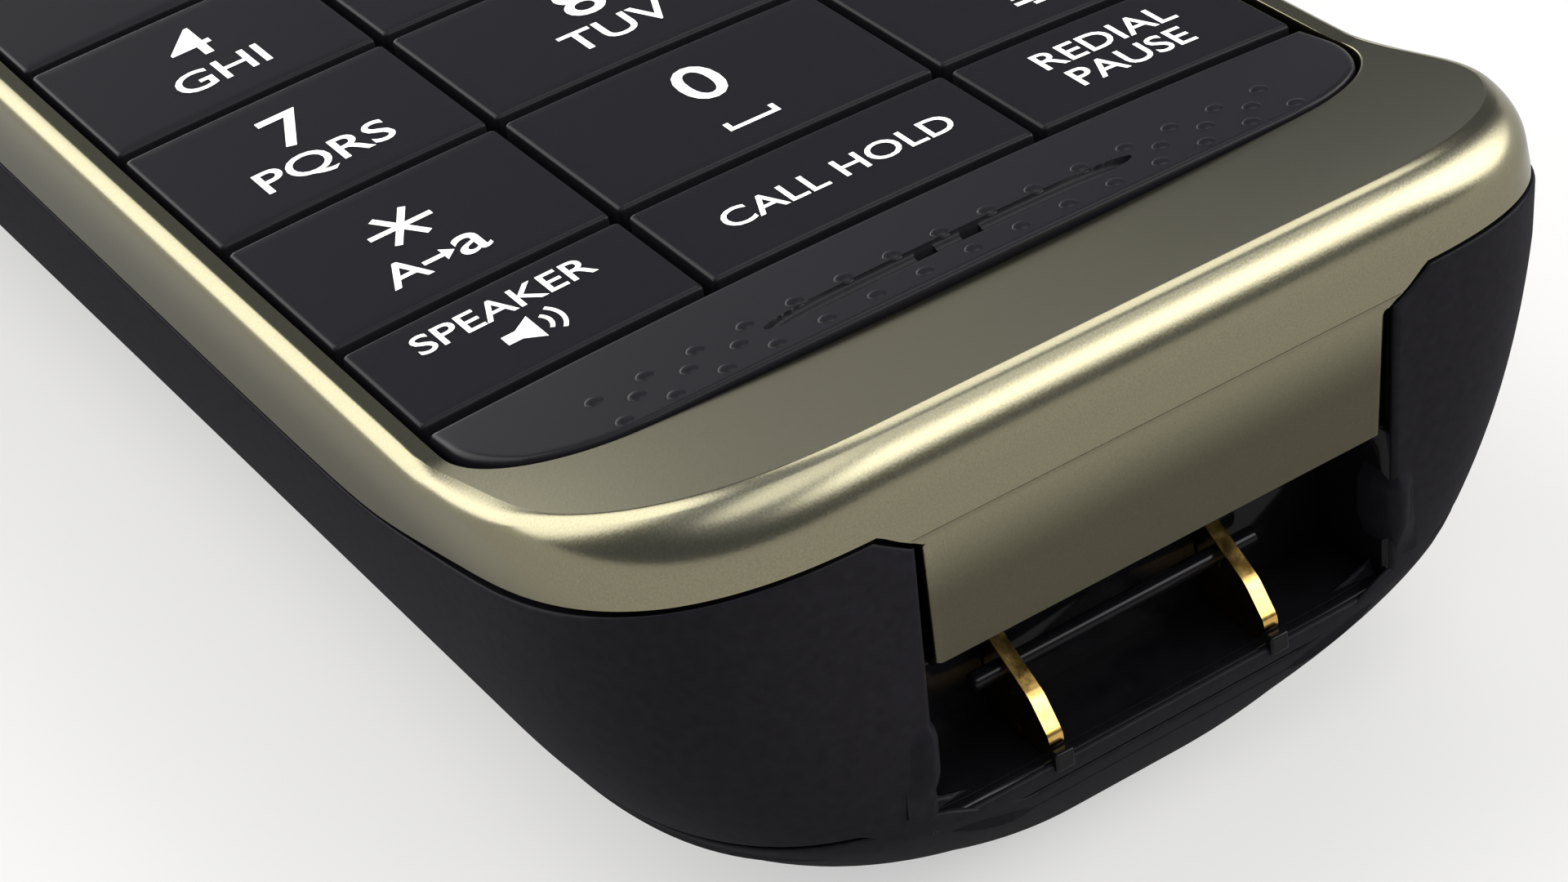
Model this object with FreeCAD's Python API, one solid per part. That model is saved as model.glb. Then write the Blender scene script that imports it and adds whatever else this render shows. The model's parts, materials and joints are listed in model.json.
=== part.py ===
import FreeCAD
import Part
import math
import os

# Cordless telephone handset lying on its back, in millimetres.
# X runs across the keypad, +Y runs from the mouth end (the foot) to the ear end (the head), +Z is up.
# The origin is under the middle of the handset, on the plane of its back.

# Overall form
handset_length = 162.0
case_width = 47.0
key_height = 22.5
section_power = 2.7
back_flat_sink = 0.15
case_wall = 1.6

# Foot end of the rear case
end_lip = 0.10
end_draft = 0.078
foot_tuck_start = 14.8
foot_tuck_in = 4.9
foot_tuck_power = 1.34
foot_corner_x = 11.3
foot_corner_y = 12.8
foot_corner_growth_x = 0.08
foot_corner_growth_y = 0.25
corner_fullness = 0.68
corner_limit = 0.8

# Head end of the rear case
head_tuck_start = 5.0
head_tuck_in = 20.0
head_tuck_power = 2.0
head_corner_x = 13.0
head_corner_y = 14.0

# Seam between the front frame and the rear case
seam_drop = 4.9
seam_rise = 5.5
seam_bend = 21.3
seam_bend_radius = 40.0
seam_gap = 0.12

# Front frame
frame_step = 0.65
frame_flare = 0.5
frame_wall = 1.5
frame_skin = 1.7
rail_round = 0.45
rail_width = 0.97
opening_foot = 10.8
opening_foot_corner_x = 6.4
opening_foot_corner_y = 5.6
opening_head_margin = 7.0
opening_head_corner = 8.0
chin_start = 16.4
chin_rise = 4.3
chin_sag = 0.27
ridge_step = 0.85
lip_roll = 0.65
chin_side_lean = 0.2
head_lean = 0.8

# Flap of the frame that closes the end above the charging recess
flap_top_width = 21.84
flap_low_width = 21.48
flap_shoulder_width = 25.68
flap_shoulder_drop = 0.72
flap_low = 7.03
flap_inset = 0.15
flap_gap = 0.15

# Charging recess and its contacts
recess_width = 22.4
recess_depth = 5.9
recess_low = 14.95
recess_wall = 1.3
rim_lip_height = 0.15
rim_lip_width = 0.35
rim_tab_width = 0.9
rim_tab_height = 0.7
guide_radius = 0.75
guide_length = 3.2
guide_drop = 8.2
contact_spacing = 10.7
contact_width = 0.7
contact_tip_gap = 0.1
contact_tip_low = 14.4
contact_tip_high = 13.85
contact_knee_in = 2.75
contact_knee_low = 12.45
contact_entry_low = 10.5
contact_bend = 0.25
contact_heel = 0.6
contact_floor_gap = 0.05
contact_back_gap = 0.1
contact_tail_height = 1.0
contact_tail_in = 8.6
contact_tail_width = 0.5
contact_slot_gap = 0.2
contact_bar_length = 14.2
contact_bar_radius = 0.4
contact_bar_in = 4.75
contact_bar_low = 12.1
contact_bar_gap = 0.12

# Keypad
key_side_gap = 0.38
middle_key_pitch = 16.34
column_gap = 0.48
row_gap = 0.64
keypad_foot = 18.67
function_row = 7.45
number_row = 10.56
number_rows = 4
navigation_row = 21.6
key_cap = 1.7
key_bevel = 0.3
key_travel = 0.5
key_crown = 0.58
plunger_width = 3.0
plunger_gap = 0.6
nib_length = 1.8
nib_width = 0.6
nib_height = 0.3
nib_setback = 1.5
press_clearance = 0.05

# Navigation cluster
navigation_width = 21.2
navigation_ring_radius = 9.6
navigation_ring_gap = 0.35
navigation_ring_proud = 0.45
navigation_tilt = 2.0
navigation_rock_clearance = 0.13
navigation_pad_radius = 7.0
navigation_pad_thickness = 0.45
select_radius = 3.4
select_gap = 0.4
select_cap = 1.1
select_travel = 0.35

# Microphone panel
panel_thickness = 1.5
panel_rise = 1.2
panel_gap = 0.12
groove_length = 17.2
groove_width = 0.9
groove_depth = 0.55
groove_setback = 5.0
microphone_hole = 1.1
microphone_hole_pitch = 2.2

# Keypad mat, dome sheet and main board
board_drop = 4.5
board_thickness = 1.2
board_side_room = 2.0
board_foot = 6.0
board_head_margin = 6.8
board_corner = 6.0
mat_thickness = 0.8
mat_clearance = 0.2
mat_side_room = 0.5
mat_rim = 1.2
dome_sheet_thickness = 0.15
dome_width = 4.0
dome_height = 0.3

# Display and earpiece
window_thickness = 1.6
window_gap = 0.15
display_side_room = 3.0
display_margin = 2.2
display_receiver_gap = 1.2
earpiece_margin = 5.0
earpiece_slot_length = 13.0
earpiece_slot_width = 2.4
grille_length = 17.0
grille_width = 5.0
grille_thickness = 0.4
receiver_radius = 6.2

# Loudspeaker and radio parts on the back of the board
speaker_position = 30.0
speaker_radius = 9.5
speaker_rim_height = 3.2
speaker_magnet_radius = 6.5
speaker_magnet_height = 2.4
speaker_floor = 3.2
speaker_seat = 0.1
speaker_slot_length = 13.0
speaker_slot_width = 1.3
speaker_slot_pitch = 2.8
speaker_slots = 5
shield_width = 26.0
shield_length = 20.0
shield_height = 2.2
shield_position = 8.0
antenna_length = 26.0
antenna_height = 5.0
antenna_thickness = 0.4
antenna_gap = 0.1

# Microphone
microphone_radius = 2.0
microphone_height = 1.5
boot_width = 6.0
boot_floor = 0.8
boot_height = 2.6
boot_gap = 0.08

# Indicator lens in the head of the frame
indicator_length = 8.0
indicator_width = 1.8
indicator_height = 3.0
indicator_offset = 11.0
indicator_gap = 0.1

# Battery bay, cells and cover
cell_radius = 5.25
cell_length = 44.5
cell_nub_radius = 1.9
cell_nub_height = 0.8
cell_pitch = 11.2
cell_gap = 0.3
bay_foot = 15.5
bay_wall = 1.2
bay_roof_wall = 0.8
terminal_thickness = 0.4
terminal_room = 2.2
terminal_width = 8.0
terminal_height = 7.0
terminal_bow = 1.5
terminal_seat = 0.05
cover_top = 69.0
cover_split = 16.0
cover_gap = 0.15
cover_wall = 1.5
floor_wall = 1.4
grip_length = 14.0
grip_width = 1.0
grip_depth = 0.4
grip_pitch = 2.4
grips = 4
grip_setback = 14.0
tongue_width = 18.0
tongue_reach = 3.5
tongue_root = 5.0
tongue_thickness = 0.8
tongue_cell_gap = 0.35

# Board screws
screw_side_room = 4.5
screw_foot = 14.5
screw_head_margin = 11.0
screw_head_radius = 2.0
screw_head_height = 1.1
screw_radius = 0.95
screw_length = 7.0
screw_gap = 0.1
boss_width = 5.0
boss_gap = 0.05

# Levels of the lofts: depths in millimetres and shares of the way to the back, the seam and the chin edge
outer_side_levels = [-3.0, 5.0, 10.0, 13.5]
outer_turn_shares = [0.35, 0.65, 0.88, 1.0]
inner_side_levels = [-3.0, 9.0]
inner_turn_shares = [0.45, 0.8, 1.0]
flare_shares = [1.0, 0.72, 0.42, 0.0]
outer_chin_shares = [0.15, 0.35, 0.65, 0.85, 0.95, 1.0]
inner_chin_shares = [0.5, 0.9]
rail_round_steps = [0, 35, 65, 90]
inner_corner_runs = 4

# Sides of the round pieces that stay inside the case
screw_sides = 6
capsule_sides = 16
speaker_sides = 32
level_margin = 1.0

# Tools that cut reach this far past what they cut
reach = 8.0

# Places worked out from the sizes above
foot = -handset_length / 2
head = handset_length / 2
case_half = case_width / 2
frame_half = case_half - frame_step
opening_half = frame_half - rail_width
keys_half = opening_half - key_side_gap
board_half = keys_half - board_side_room
seam_height = key_height - seam_drop
hull_depth = key_height + back_flat_sink
chin_setback = end_lip + ridge_step + lip_roll
cap_under = key_height - key_cap
mat_top = cap_under - key_travel - mat_clearance
mat_under = mat_top - mat_thickness
board_top = key_height - board_drop
board_under = board_top - board_thickness
board_head = head - board_head_margin
sheet_top = board_top + dome_sheet_thickness
plunger_low = sheet_top + dome_height + key_travel + press_clearance
split_height = key_height - cover_split
recess_floor = key_height - recess_low
recess_roof = key_height - flap_low - flap_gap
rim_face = end_lip + end_draft * recess_low
contact_tip_in = rim_face + rim_lip_width + contact_tip_gap
flap_back = end_lip + end_draft * flap_low + frame_wall
cover_edge = foot + cover_top
tongue_low = case_wall + cover_gap
cell_height = tongue_low + tongue_thickness + tongue_cell_gap + cell_radius
bay_half = cell_pitch / 2 + cell_radius + cell_gap
bay_low = foot + bay_foot
bay_high = bay_low + cell_length + cell_nub_height + 2 * terminal_room
bay_roof = cell_height + cell_radius + cell_gap
rows_start = foot + keypad_foot
numbers_start = rows_start + function_row
navigation_start = numbers_start + number_rows * number_row
softkeys_start = navigation_start + navigation_row
window_start = softkeys_start + function_row
navigation_middle = navigation_start + navigation_row / 2
window_head = head - opening_head_margin
earpiece_middle = window_head - earpiece_margin


def point(x, y, z):
    return FreeCAD.Vector(x, y, z)


def box(x0, x1, y0, y1, z0, z1):
    return Part.makeBox(x1 - x0, y1 - y0, z1 - z0, point(x0, y0, z0))


def disc(radius, height, x, y, z):
    return Part.makeCylinder(radius, height, point(x, y, z))


def post(width, x, y, z0, z1):
    """Square upright post."""
    return box(x - width / 2, x + width / 2, y - width / 2, y + width / 2, z0, z1)


def sided_post(sides, radius, x, y, z0, z1):
    """Upright post with flat sides, measured across its corners."""
    turns = [2 * math.pi * i / sides for i in range(sides)]
    outline = [point(x + radius * math.cos(turn), y + radius * math.sin(turn), z0) for turn in turns]
    return prism(closed_lines(outline), point(0, 0, z1 - z0))


def prism(edges, direction):
    """Closed outline of edges, filled and pushed along a direction."""
    return Part.Face(Part.Wire(edges)).extrude(direction)


def closed_lines(points):
    return Part.makePolygon(points + points[:1]).Edges


def rounded_path(points, radius):
    """Straight runs between points, joined by tangent arcs of one radius."""
    edges = []
    start = points[0]
    for before, corner, after in zip(points, points[1:], points[2:]):
        back = (before - corner).normalize()
        ahead = (after - corner).normalize()
        half_angle = back.getAngle(ahead) / 2
        cut = radius / math.tan(half_angle)
        middle = corner + (back + ahead).normalize() * (radius / math.sin(half_angle) - radius)
        enter = corner + back * cut
        leave = corner + ahead * cut
        edges.append(Part.makeLine(start, enter))
        edges.append(Part.Arc(enter, middle, leave).toShape())
        start = leave
    edges.append(Part.makeLine(start, points[-1]))
    return edges


def corner_curve(start, corner, end):
    """Full round corner: a cubic whose handles reach most of the way to the corner point."""
    curve = Part.BezierCurve()
    curve.setPoles([
        start,
        start + (corner - start) * corner_fullness,
        end + (corner - end) * corner_fullness,
        end,
    ])
    return curve


def round_corner(start, corner, end):
    return [corner_curve(start, corner, end).toShape()]


def straight_corner(start, corner, end):
    """Corner of a hidden inner wall: straight runs between points on the round corner."""
    curve = corner_curve(start, corner, end)
    spots = [curve.value(i / inner_corner_runs) for i in range(inner_corner_runs + 1)]
    return [Part.makeLine(a, b) for a, b in zip(spots, spots[1:])]


def plan_wire(z, half, low, high, foot_x, foot_y, head_x, head_y, corner=round_corner):
    """Rectangle seen from above with full corners, wider or narrower at its two ends."""
    spots = [
        (-half + foot_x, low), (half - foot_x, low), (half, low), (half, low + foot_y),
        (half, high - head_y), (half, high), (half - head_x, high),
        (-half + head_x, high), (-half, high), (-half, high - head_y),
        (-half, low + foot_y), (-half, low),
    ]
    p = [point(x, y, z) for x, y in spots]
    edges = [Part.makeLine(p[0], p[1])] + corner(p[1], p[2], p[3])
    edges += [Part.makeLine(p[3], p[4])] + corner(p[4], p[5], p[6])
    edges += [Part.makeLine(p[6], p[7])] + corner(p[7], p[8], p[9])
    edges += [Part.makeLine(p[9], p[10])] + corner(p[10], p[11], p[0])
    return Part.Wire(edges)


def plan_plate(z0, z1, half, low, high, foot_x, foot_y, head_x, head_y):
    wire = plan_wire(z0, half, low, high, foot_x, foot_y, head_x, head_y)
    return Part.Face(wire).extrude(point(0, 0, z1 - z0))


def round_in(share, power):
    """How far a rounded edge has drawn in, from 0 at its start to 1 at its end."""
    return 1 - (1 - share ** power) ** (1 / power)


# Rear case surface

def hull_level(depth, inset, corner):
    """Outline of the rear case at a depth below the key tops, drawn in by an inset on every side."""
    lowest = key_height - inset
    sunk = max(depth, 0.0)
    full = (1 - (sunk / (hull_depth - inset)) ** section_power) ** (1 / section_power)
    half = (case_half - inset) * full
    foot_share = max(depth - foot_tuck_start, 0.0) / (lowest - foot_tuck_start)
    head_share = max(depth - head_tuck_start, 0.0) / (lowest - head_tuck_start)
    low = foot + end_lip + end_draft * depth + foot_tuck_in * round_in(foot_share, foot_tuck_power) + inset
    high = head - head_tuck_in * round_in(head_share, head_tuck_power) - inset
    foot_x = min(foot_corner_x + foot_corner_growth_x * sunk, corner_limit * half)
    head_x = min(head_corner_x, corner_limit * half)
    foot_y = foot_corner_y + foot_corner_growth_y * sunk
    return plan_wire(key_height - depth, half, low, high, foot_x, foot_y, head_x, head_corner_y, corner)


def hull(inset, side_levels, turn_shares, corner):
    """Boat-shaped solid of the rear case, lofted through outlines that close up towards the back."""
    lowest = key_height - inset
    last_side = side_levels[-1]
    depths = side_levels + [last_side + share * (lowest - last_side) for share in turn_shares]
    return Part.makeLoft([hull_level(depth, inset, corner) for depth in depths], True, True)


def hull_outside():
    return hull(0.0, outer_side_levels, outer_turn_shares, round_corner)


def hull_inside(wall):
    return hull(wall, inner_side_levels, inner_turn_shares, straight_corner)


def under_seam(offset):
    """Everything below the seam surface, which runs level and then climbs towards the foot."""
    slope = seam_rise / seam_bend
    level = seam_height + offset
    path = rounded_path([
        point(-case_width, head + reach, level),
        point(-case_width, foot + seam_bend, level),
        point(-case_width, foot - reach, level + slope * (seam_bend + reach)),
    ], seam_bend_radius)
    bottom = closed_lines([
        point(-case_width, foot - reach, level + slope * (seam_bend + reach)),
        point(-case_width, foot - reach, -reach),
        point(-case_width, head + reach, -reach),
        point(-case_width, head + reach, level),
    ])[:3]
    return prism(path + bottom, point(2 * case_width, 0, 0))


# Front frame

def under_front(drop):
    """Everything below the front surface: level rails and a chin that rises to the foot edge."""
    crease = foot + chin_start
    edge = foot + chin_setback
    level = key_height - drop
    run = crease - edge
    middle_height = chin_rise / 2 - chin_sag
    end_slope = (chin_rise + 4 * chin_sag) / run
    side = -case_width
    chin = Part.Arc(
        point(side, crease, level),
        point(side, crease - run / 2, level + middle_height),
        point(side, edge, level + chin_rise),
    ).toShape()
    beyond = level + chin_rise + end_slope * reach
    rest = closed_lines([
        point(side, edge, level + chin_rise),
        point(side, edge - reach, beyond),
        point(side, edge - reach, -reach),
        point(side, head + reach, -reach),
        point(side, head + reach, level),
        point(side, crease, level),
    ])[:5]
    return prism([chin] + rest, point(2 * case_width, 0, 0))


def frame_level(rise, inset, corner=round_corner):
    """Outline of the frame at a height above the key tops, flared at the seam and rolled at the chin."""
    below = min(max(-rise, 0.0) / seam_drop, 1.0)
    above = max(rise, 0.0) / chin_rise
    half = frame_half + frame_flare * below ** 3 - chin_side_lean * above - inset
    step = ridge_step * (1 - (1 - min(above, 1.0)) ** 3) + lip_roll * above ** 6
    low = foot + end_lip + end_draft * max(-rise, 0.0) + step + inset
    high = head - head_lean * max(rise + seam_drop, 0.0) / seam_drop - inset
    return plan_wire(key_height + rise, half, low, high,
                     foot_corner_x, foot_corner_y, head_corner_x, head_corner_y, corner)


def frame_body(inset, chin_shares, corner):
    """Solid between the lowest edge of the flap and the top of the chin, lofted level by level."""
    rises = [-(flap_low + reach)]
    rises += [-share * seam_drop for share in flare_shares]
    rises += [share * chin_rise for share in chin_shares]
    rises.append(chin_rise + level_margin)
    return Part.makeLoft([frame_level(rise, inset, corner) for rise in rises], True, True)


def flap_outline(gap):
    """Flap seen from the foot end: a plate with sloped shoulders under the band."""
    top = key_height + seam_rise - seam_drop
    shoulder = key_height - flap_shoulder_drop
    low = key_height - flap_low - gap
    wide = flap_shoulder_width / 2 + gap
    upper = flap_top_width / 2 + gap
    lower = flap_low_width / 2 + gap
    near = foot - reach
    spots = [
        (-wide, top + reach), (-wide, top), (-upper, shoulder), (-lower, low),
        (lower, low), (upper, shoulder), (wide, top), (wide, top + reach),
    ]
    outline = closed_lines([point(x, near, z) for x, z in spots])
    return prism(outline, point(0, reach + recess_depth, 0))


def flap_relief():
    """Thin slice off the outside of the flap, so that it lies behind the ridge and the case corners."""
    face = foot + end_lip + flap_inset
    shoulder = key_height - flap_shoulder_drop
    spots = [
        (foot - reach, shoulder), (face + end_draft * flap_shoulder_drop, shoulder),
        (face + end_draft * (flap_low + reach), shoulder - flap_low - reach + flap_shoulder_drop),
        (foot - reach, shoulder - flap_low - reach + flap_shoulder_drop),
    ]
    wide = flap_shoulder_width
    return prism(closed_lines([point(-wide, y, z) for y, z in spots]), point(2 * wide, 0, 0))


def front_opening(gap, z0, z1):
    """Plate that fills the opening of the frame, less a gap all round."""
    return plan_plate(z0, z1, opening_half - gap, foot + opening_foot + gap, window_head - gap,
                      opening_foot_corner_x, opening_foot_corner_y, opening_head_corner, opening_head_corner)


def indicator_prism(gap):
    y = head - opening_head_margin / 2
    return box(indicator_offset - indicator_length / 2 - gap, indicator_offset + indicator_length / 2 + gap,
               y - indicator_width / 2 - gap, y + indicator_width / 2 + gap,
               key_height - indicator_height - gap, key_height)


def make_front_frame():
    body = frame_body(0.0, outer_chin_shares, round_corner).common(under_front(0.0))
    room = frame_body(frame_wall, inner_chin_shares, straight_corner).common(under_front(frame_skin))
    body = body.cut(room)
    body = body.cut(front_opening(0, -reach, key_height + chin_rise + reach))
    body = body.cut(under_seam(seam_gap / 2).cut(flap_outline(0)))
    body = body.cut(flap_relief())
    body = body.cut(indicator_prism(indicator_gap))
    return body.cut(rail_trimming())


def rail_trimming():
    """What a round along the outer edge of the level rails and the head takes away."""
    levels = []
    for degrees in rail_round_steps:
        turn = math.radians(degrees)
        levels.append(frame_level(rail_round * (math.sin(turn) - 1), rail_round * (1 - math.cos(turn))))
    kept = Part.makeLoft(levels, True, True)
    low = key_height - rail_round
    return box(-case_width, case_width, foot + chin_start, head + reach, low, low + reach).cut(kept)


# Rear case, its recess and the battery bay

def recess_pocket():
    half = recess_width / 2
    return box(-half, half, foot - reach, foot + recess_depth, recess_floor, recess_roof)


def rim_details():
    """Lip along the rim of the recess, two tabs on it behind the contact tips, and guides on the walls."""
    half = recess_width / 2
    rim_out = foot + rim_face
    rim_in = rim_out + rim_lip_width
    lip = box(-half, half, rim_out, rim_in, recess_floor, recess_floor + rim_lip_height)
    pieces = [lip]
    for side in (-1, 1):
        x = side * contact_spacing / 2
        tab_top = recess_floor + rim_tab_height
        pieces.append(box(x - rim_tab_width / 2, x + rim_tab_width / 2, rim_out, rim_in, recess_floor, tab_top))
        guide_low = key_height - guide_drop - guide_length
        guide_y = foot + end_lip + end_draft * guide_drop + guide_radius
        guide = disc(guide_radius, guide_length, side * half, guide_y, guide_low)
        pieces.append(guide.common(recess_pocket()))
    return pieces


def contact_slots():
    half = contact_width / 2 + contact_slot_gap
    cuts = []
    for side in (-1, 1):
        x = side * contact_spacing / 2
        entry = key_height - contact_entry_low
        back = foot + recess_depth
        cuts.append(box(x - half, x + half, back - recess_wall, back + 2 * recess_wall,
                        entry - contact_tail_height - contact_slot_gap, entry + contact_slot_gap))
    return cuts


def screw_places():
    half = board_half - screw_side_room
    return [(x, y) for y in (foot + screw_foot, head - screw_head_margin) for x in (-half, half)]


def case_blocks():
    """Left standing inside the case: walls of the battery bay and the recess, speaker floor, screw bosses."""
    bay = box(-bay_half - bay_wall, bay_half + bay_wall, bay_low - bay_wall, bay_high + bay_wall,
              split_height, bay_roof + bay_roof_wall)
    half = recess_width / 2 + recess_wall
    recess = box(-half, half, foot - reach, foot + recess_depth + recess_wall,
                 split_height, recess_roof + recess_wall)
    bosses = [post(boss_width, x, y, 0, board_under - boss_gap) for x, y in screw_places()]
    speaker = disc(speaker_radius + case_wall, speaker_floor + reach, 0, speaker_position, -reach)
    return [bay, recess, speaker] + bosses


def speaker_slot_cuts():
    cuts = []
    for i in range(speaker_slots):
        y = speaker_position + (i - (speaker_slots - 1) / 2) * speaker_slot_pitch
        cuts.append(box(-speaker_slot_length / 2, speaker_slot_length / 2,
                        y - speaker_slot_width / 2, y + speaker_slot_width / 2, -reach, speaker_floor + reach))
    return cuts


def tongue(gap):
    half = tongue_width / 2 + gap
    return box(-half, half, cover_edge - tongue_root, cover_edge + tongue_reach + gap,
               tongue_low - gap, tongue_low + tongue_thickness + gap)


def make_rear_case():
    wide = case_width
    top = key_height + reach
    body = hull_outside().common(under_seam(-seam_gap / 2))
    body = body.cut(box(-wide, wide, foot - reach, cover_edge, -reach, split_height))
    head_room = box(-wide, wide, cover_edge + case_wall, head + reach, 0, top)
    foot_room = box(-wide, wide, foot - reach, cover_edge + 2 * case_wall, split_height + floor_wall, top)
    room = hull_inside(case_wall).common(head_room.fuse(foot_room))
    for block in case_blocks():
        room = room.cut(block)
    body = body.cut(room)
    cuts = [
        box(-bay_half, bay_half, bay_low, bay_high, split_height - reach, bay_roof),
        recess_pocket(),
        flap_outline(flap_gap).common(box(-wide, wide, foot - reach, foot + flap_back + flap_gap, 0, top)),
        tongue(cover_gap),
    ]
    cuts += contact_slots() + speaker_slot_cuts()
    for x, y in screw_places():
        hole_end = board_top - screw_length - screw_gap
        cuts.append(sided_post(screw_sides, screw_radius + screw_gap, x, y, hole_end, board_top))
    for cut in cuts:
        body = body.cut(cut)
    return body.fuse(rim_details()).removeSplitter()


def make_battery_cover():
    wide = case_width
    shell = hull_outside().cut(hull_inside(cover_wall))
    edge = cover_edge - cover_gap
    shell = shell.common(box(-wide, wide, foot - reach, edge, -reach, split_height - cover_gap))
    root = box(-tongue_width / 2, tongue_width / 2, cover_edge - tongue_root, edge,
               cover_wall / 2, tongue_low + tongue_thickness)
    root = root.common(hull_outside())
    for i in range(grips):
        y = cover_edge - grip_setback - i * grip_pitch
        shell = shell.cut(box(-grip_length / 2, grip_length / 2,
                              y - grip_width / 2, y + grip_width / 2, -reach, grip_depth))
    return shell.fuse([root, tongue(0)]).removeSplitter()


# Charging contacts

def contact_outline():
    """Side view of a contact: a blade that stands in the recess, and a tail through the back wall to the board."""
    tip = foot + contact_tip_in
    back = foot + recess_depth - contact_back_gap
    tail = foot + contact_tail_in
    floor = recess_floor + contact_floor_gap
    entry = key_height - contact_entry_low
    under = entry - contact_tail_height
    end = board_under - boss_gap
    blade = [
        point(0, tip + contact_heel, floor), point(0, tip, key_height - contact_tip_low),
        point(0, tip, key_height - contact_tip_high),
        point(0, foot + contact_knee_in, key_height - contact_knee_low), point(0, back, entry),
    ]
    rest = [
        blade[-1], point(0, tail, entry), point(0, tail, end), point(0, tail + contact_tail_width, end),
        point(0, tail + contact_tail_width, under), point(0, back, under), point(0, back, floor), blade[0],
    ]
    return rounded_path(blade, contact_bend) + Part.makePolygon(rest).Edges


def contact_bar(radius):
    start = point(-contact_bar_length / 2, foot + contact_bar_in, key_height - contact_bar_low)
    return Part.makeCylinder(radius, contact_bar_length, start, point(1, 0, 0))


def make_contact(side):
    """Blade of sheet metal, with a hole that the bar passes through."""
    blade = prism(contact_outline(), point(contact_width, 0, 0))
    blade.translate(point(side * contact_spacing / 2 - contact_width / 2, 0, 0))
    return blade.cut(contact_bar(contact_bar_radius + contact_bar_gap))


def make_contact_bar():
    return contact_bar(contact_bar_radius)


# Keys

def under_crown(lift):
    """Everything below the gentle crown that runs across the keypad and the display window."""
    level = key_height + lift
    y = foot - reach
    left = point(-keys_half, y, level)
    right = point(keys_half, y, level)
    arc = Part.Arc(left, point(0, y, level + key_crown), right).toShape()
    rest = closed_lines([right, point(keys_half, y, -reach), point(-keys_half, y, -reach), left])[:3]
    return prism([arc] + rest, point(0, handset_length + 2 * reach, 0))


def bevel_top(body, size):
    """Bevel along every edge of the top face."""
    top = max(body.Faces, key=lambda face: face.CenterOfMass.z)
    return body.makeChamfer(size, top.Edges)


def make_key(x0, x1, y0, y1, crown):
    cap = box(x0, x1, y0, y1, cap_under, key_height + reach).common(crown)
    cap = bevel_top(cap, key_bevel)
    plunger = post(plunger_width, (x0 + x1) / 2, (y0 + y1) / 2, plunger_low, cap_under)
    return cap.fuse(plunger).removeSplitter()


def make_nib(place):
    """Small bar near the lower edge of the middle dial key, felt by the finger."""
    middle = (place[0] + place[1]) / 2
    y = place[2] + nib_setback
    top = key_height + key_crown + nib_height
    return box(middle - nib_length / 2, middle + nib_length / 2,
               y - nib_width / 2, y + nib_width / 2, cap_under, top)


def column_edges():
    inner = middle_key_pitch / 2
    half = column_gap / 2
    return [(-keys_half, -inner - half), (-inner + half, inner - half), (inner + half, keys_half)]


def key_places():
    """Name and outline of every key that presses straight down."""
    places = {}
    half = row_gap / 2
    columns = column_edges()
    number_names = [["star", "0", "hash"], ["7", "8", "9"], ["4", "5", "6"], ["1", "2", "3"]]
    rows = [(["speaker_key", "hold_key", "redial_key"], rows_start, function_row)]
    for i, names in enumerate(number_names):
        rows.append((["dial_key_" + name for name in names], numbers_start + i * number_row, number_row))
    rows.append((["soft_key_left", "soft_key_middle", "soft_key_right"], softkeys_start, function_row))
    for names, y, height in rows:
        for name, (x0, x1) in zip(names, columns):
            places[name] = (x0, x1, y + half, y + height - half)
    side = navigation_width / 2 + column_gap / 2
    low = navigation_start + half
    high = softkeys_start - half
    places["talk_key"] = (-keys_half, -side, low, high)
    places["off_key"] = (side, keys_half, low, high)
    return places


# Navigation cluster

def rock_room():
    """Height that the edge of the rocking pad needs above and below it."""
    return navigation_pad_radius * math.sin(math.radians(navigation_tilt)) + navigation_rock_clearance


def pad_under():
    return mat_top + rock_room()


def ring_under():
    return pad_under() + navigation_pad_thickness + rock_room()


def navigation_top():
    return key_height + key_crown + navigation_ring_proud


def make_navigation_ring():
    thickness = navigation_top() - ring_under()
    ring = bevel_top(disc(navigation_ring_radius, thickness, 0, navigation_middle, ring_under()), key_bevel)
    hole = disc(select_radius + select_gap, 2 * thickness, 0, navigation_middle, ring_under() - thickness / 2)
    return ring.cut(hole)


def make_navigation_pad():
    top = pad_under() + navigation_pad_thickness
    pad = sided_post(speaker_sides, navigation_pad_radius, 0, navigation_middle, pad_under(), top)
    return pad.cut(post(plunger_width + 2 * plunger_gap, 0, navigation_middle, 0, key_height + reach))


def make_select_key():
    under = navigation_top() - select_cap
    cap = bevel_top(disc(select_radius, select_cap, 0, navigation_middle, under), key_bevel)
    stem_low = sheet_top + dome_height + select_travel + press_clearance
    return cap.fuse(post(plunger_width, 0, navigation_middle, stem_low, under)).removeSplitter()


def make_navigation_surround(crown):
    half = navigation_width / 2 - column_gap / 2
    low = navigation_start + row_gap / 2
    high = softkeys_start - row_gap / 2
    plate = box(-half, half, low, high, mat_top, key_height + reach)
    plate = bevel_top(plate.common(crown), key_bevel)
    hole_radius = navigation_ring_radius + navigation_ring_gap
    return plate.cut(disc(hole_radius, key_height, 0, navigation_middle, key_height / 2))


# Microphone panel and display window

def tilted_crown(lift):
    """The crown surface turned about the last key row, so that it climbs with the chin."""
    crown = under_crown(lift)
    run = rows_start - foot - opening_foot
    angle = math.degrees(math.atan2(panel_rise, run))
    crown.rotate(point(0, rows_start, key_height), point(1, 0, 0), -angle)
    return crown


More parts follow.
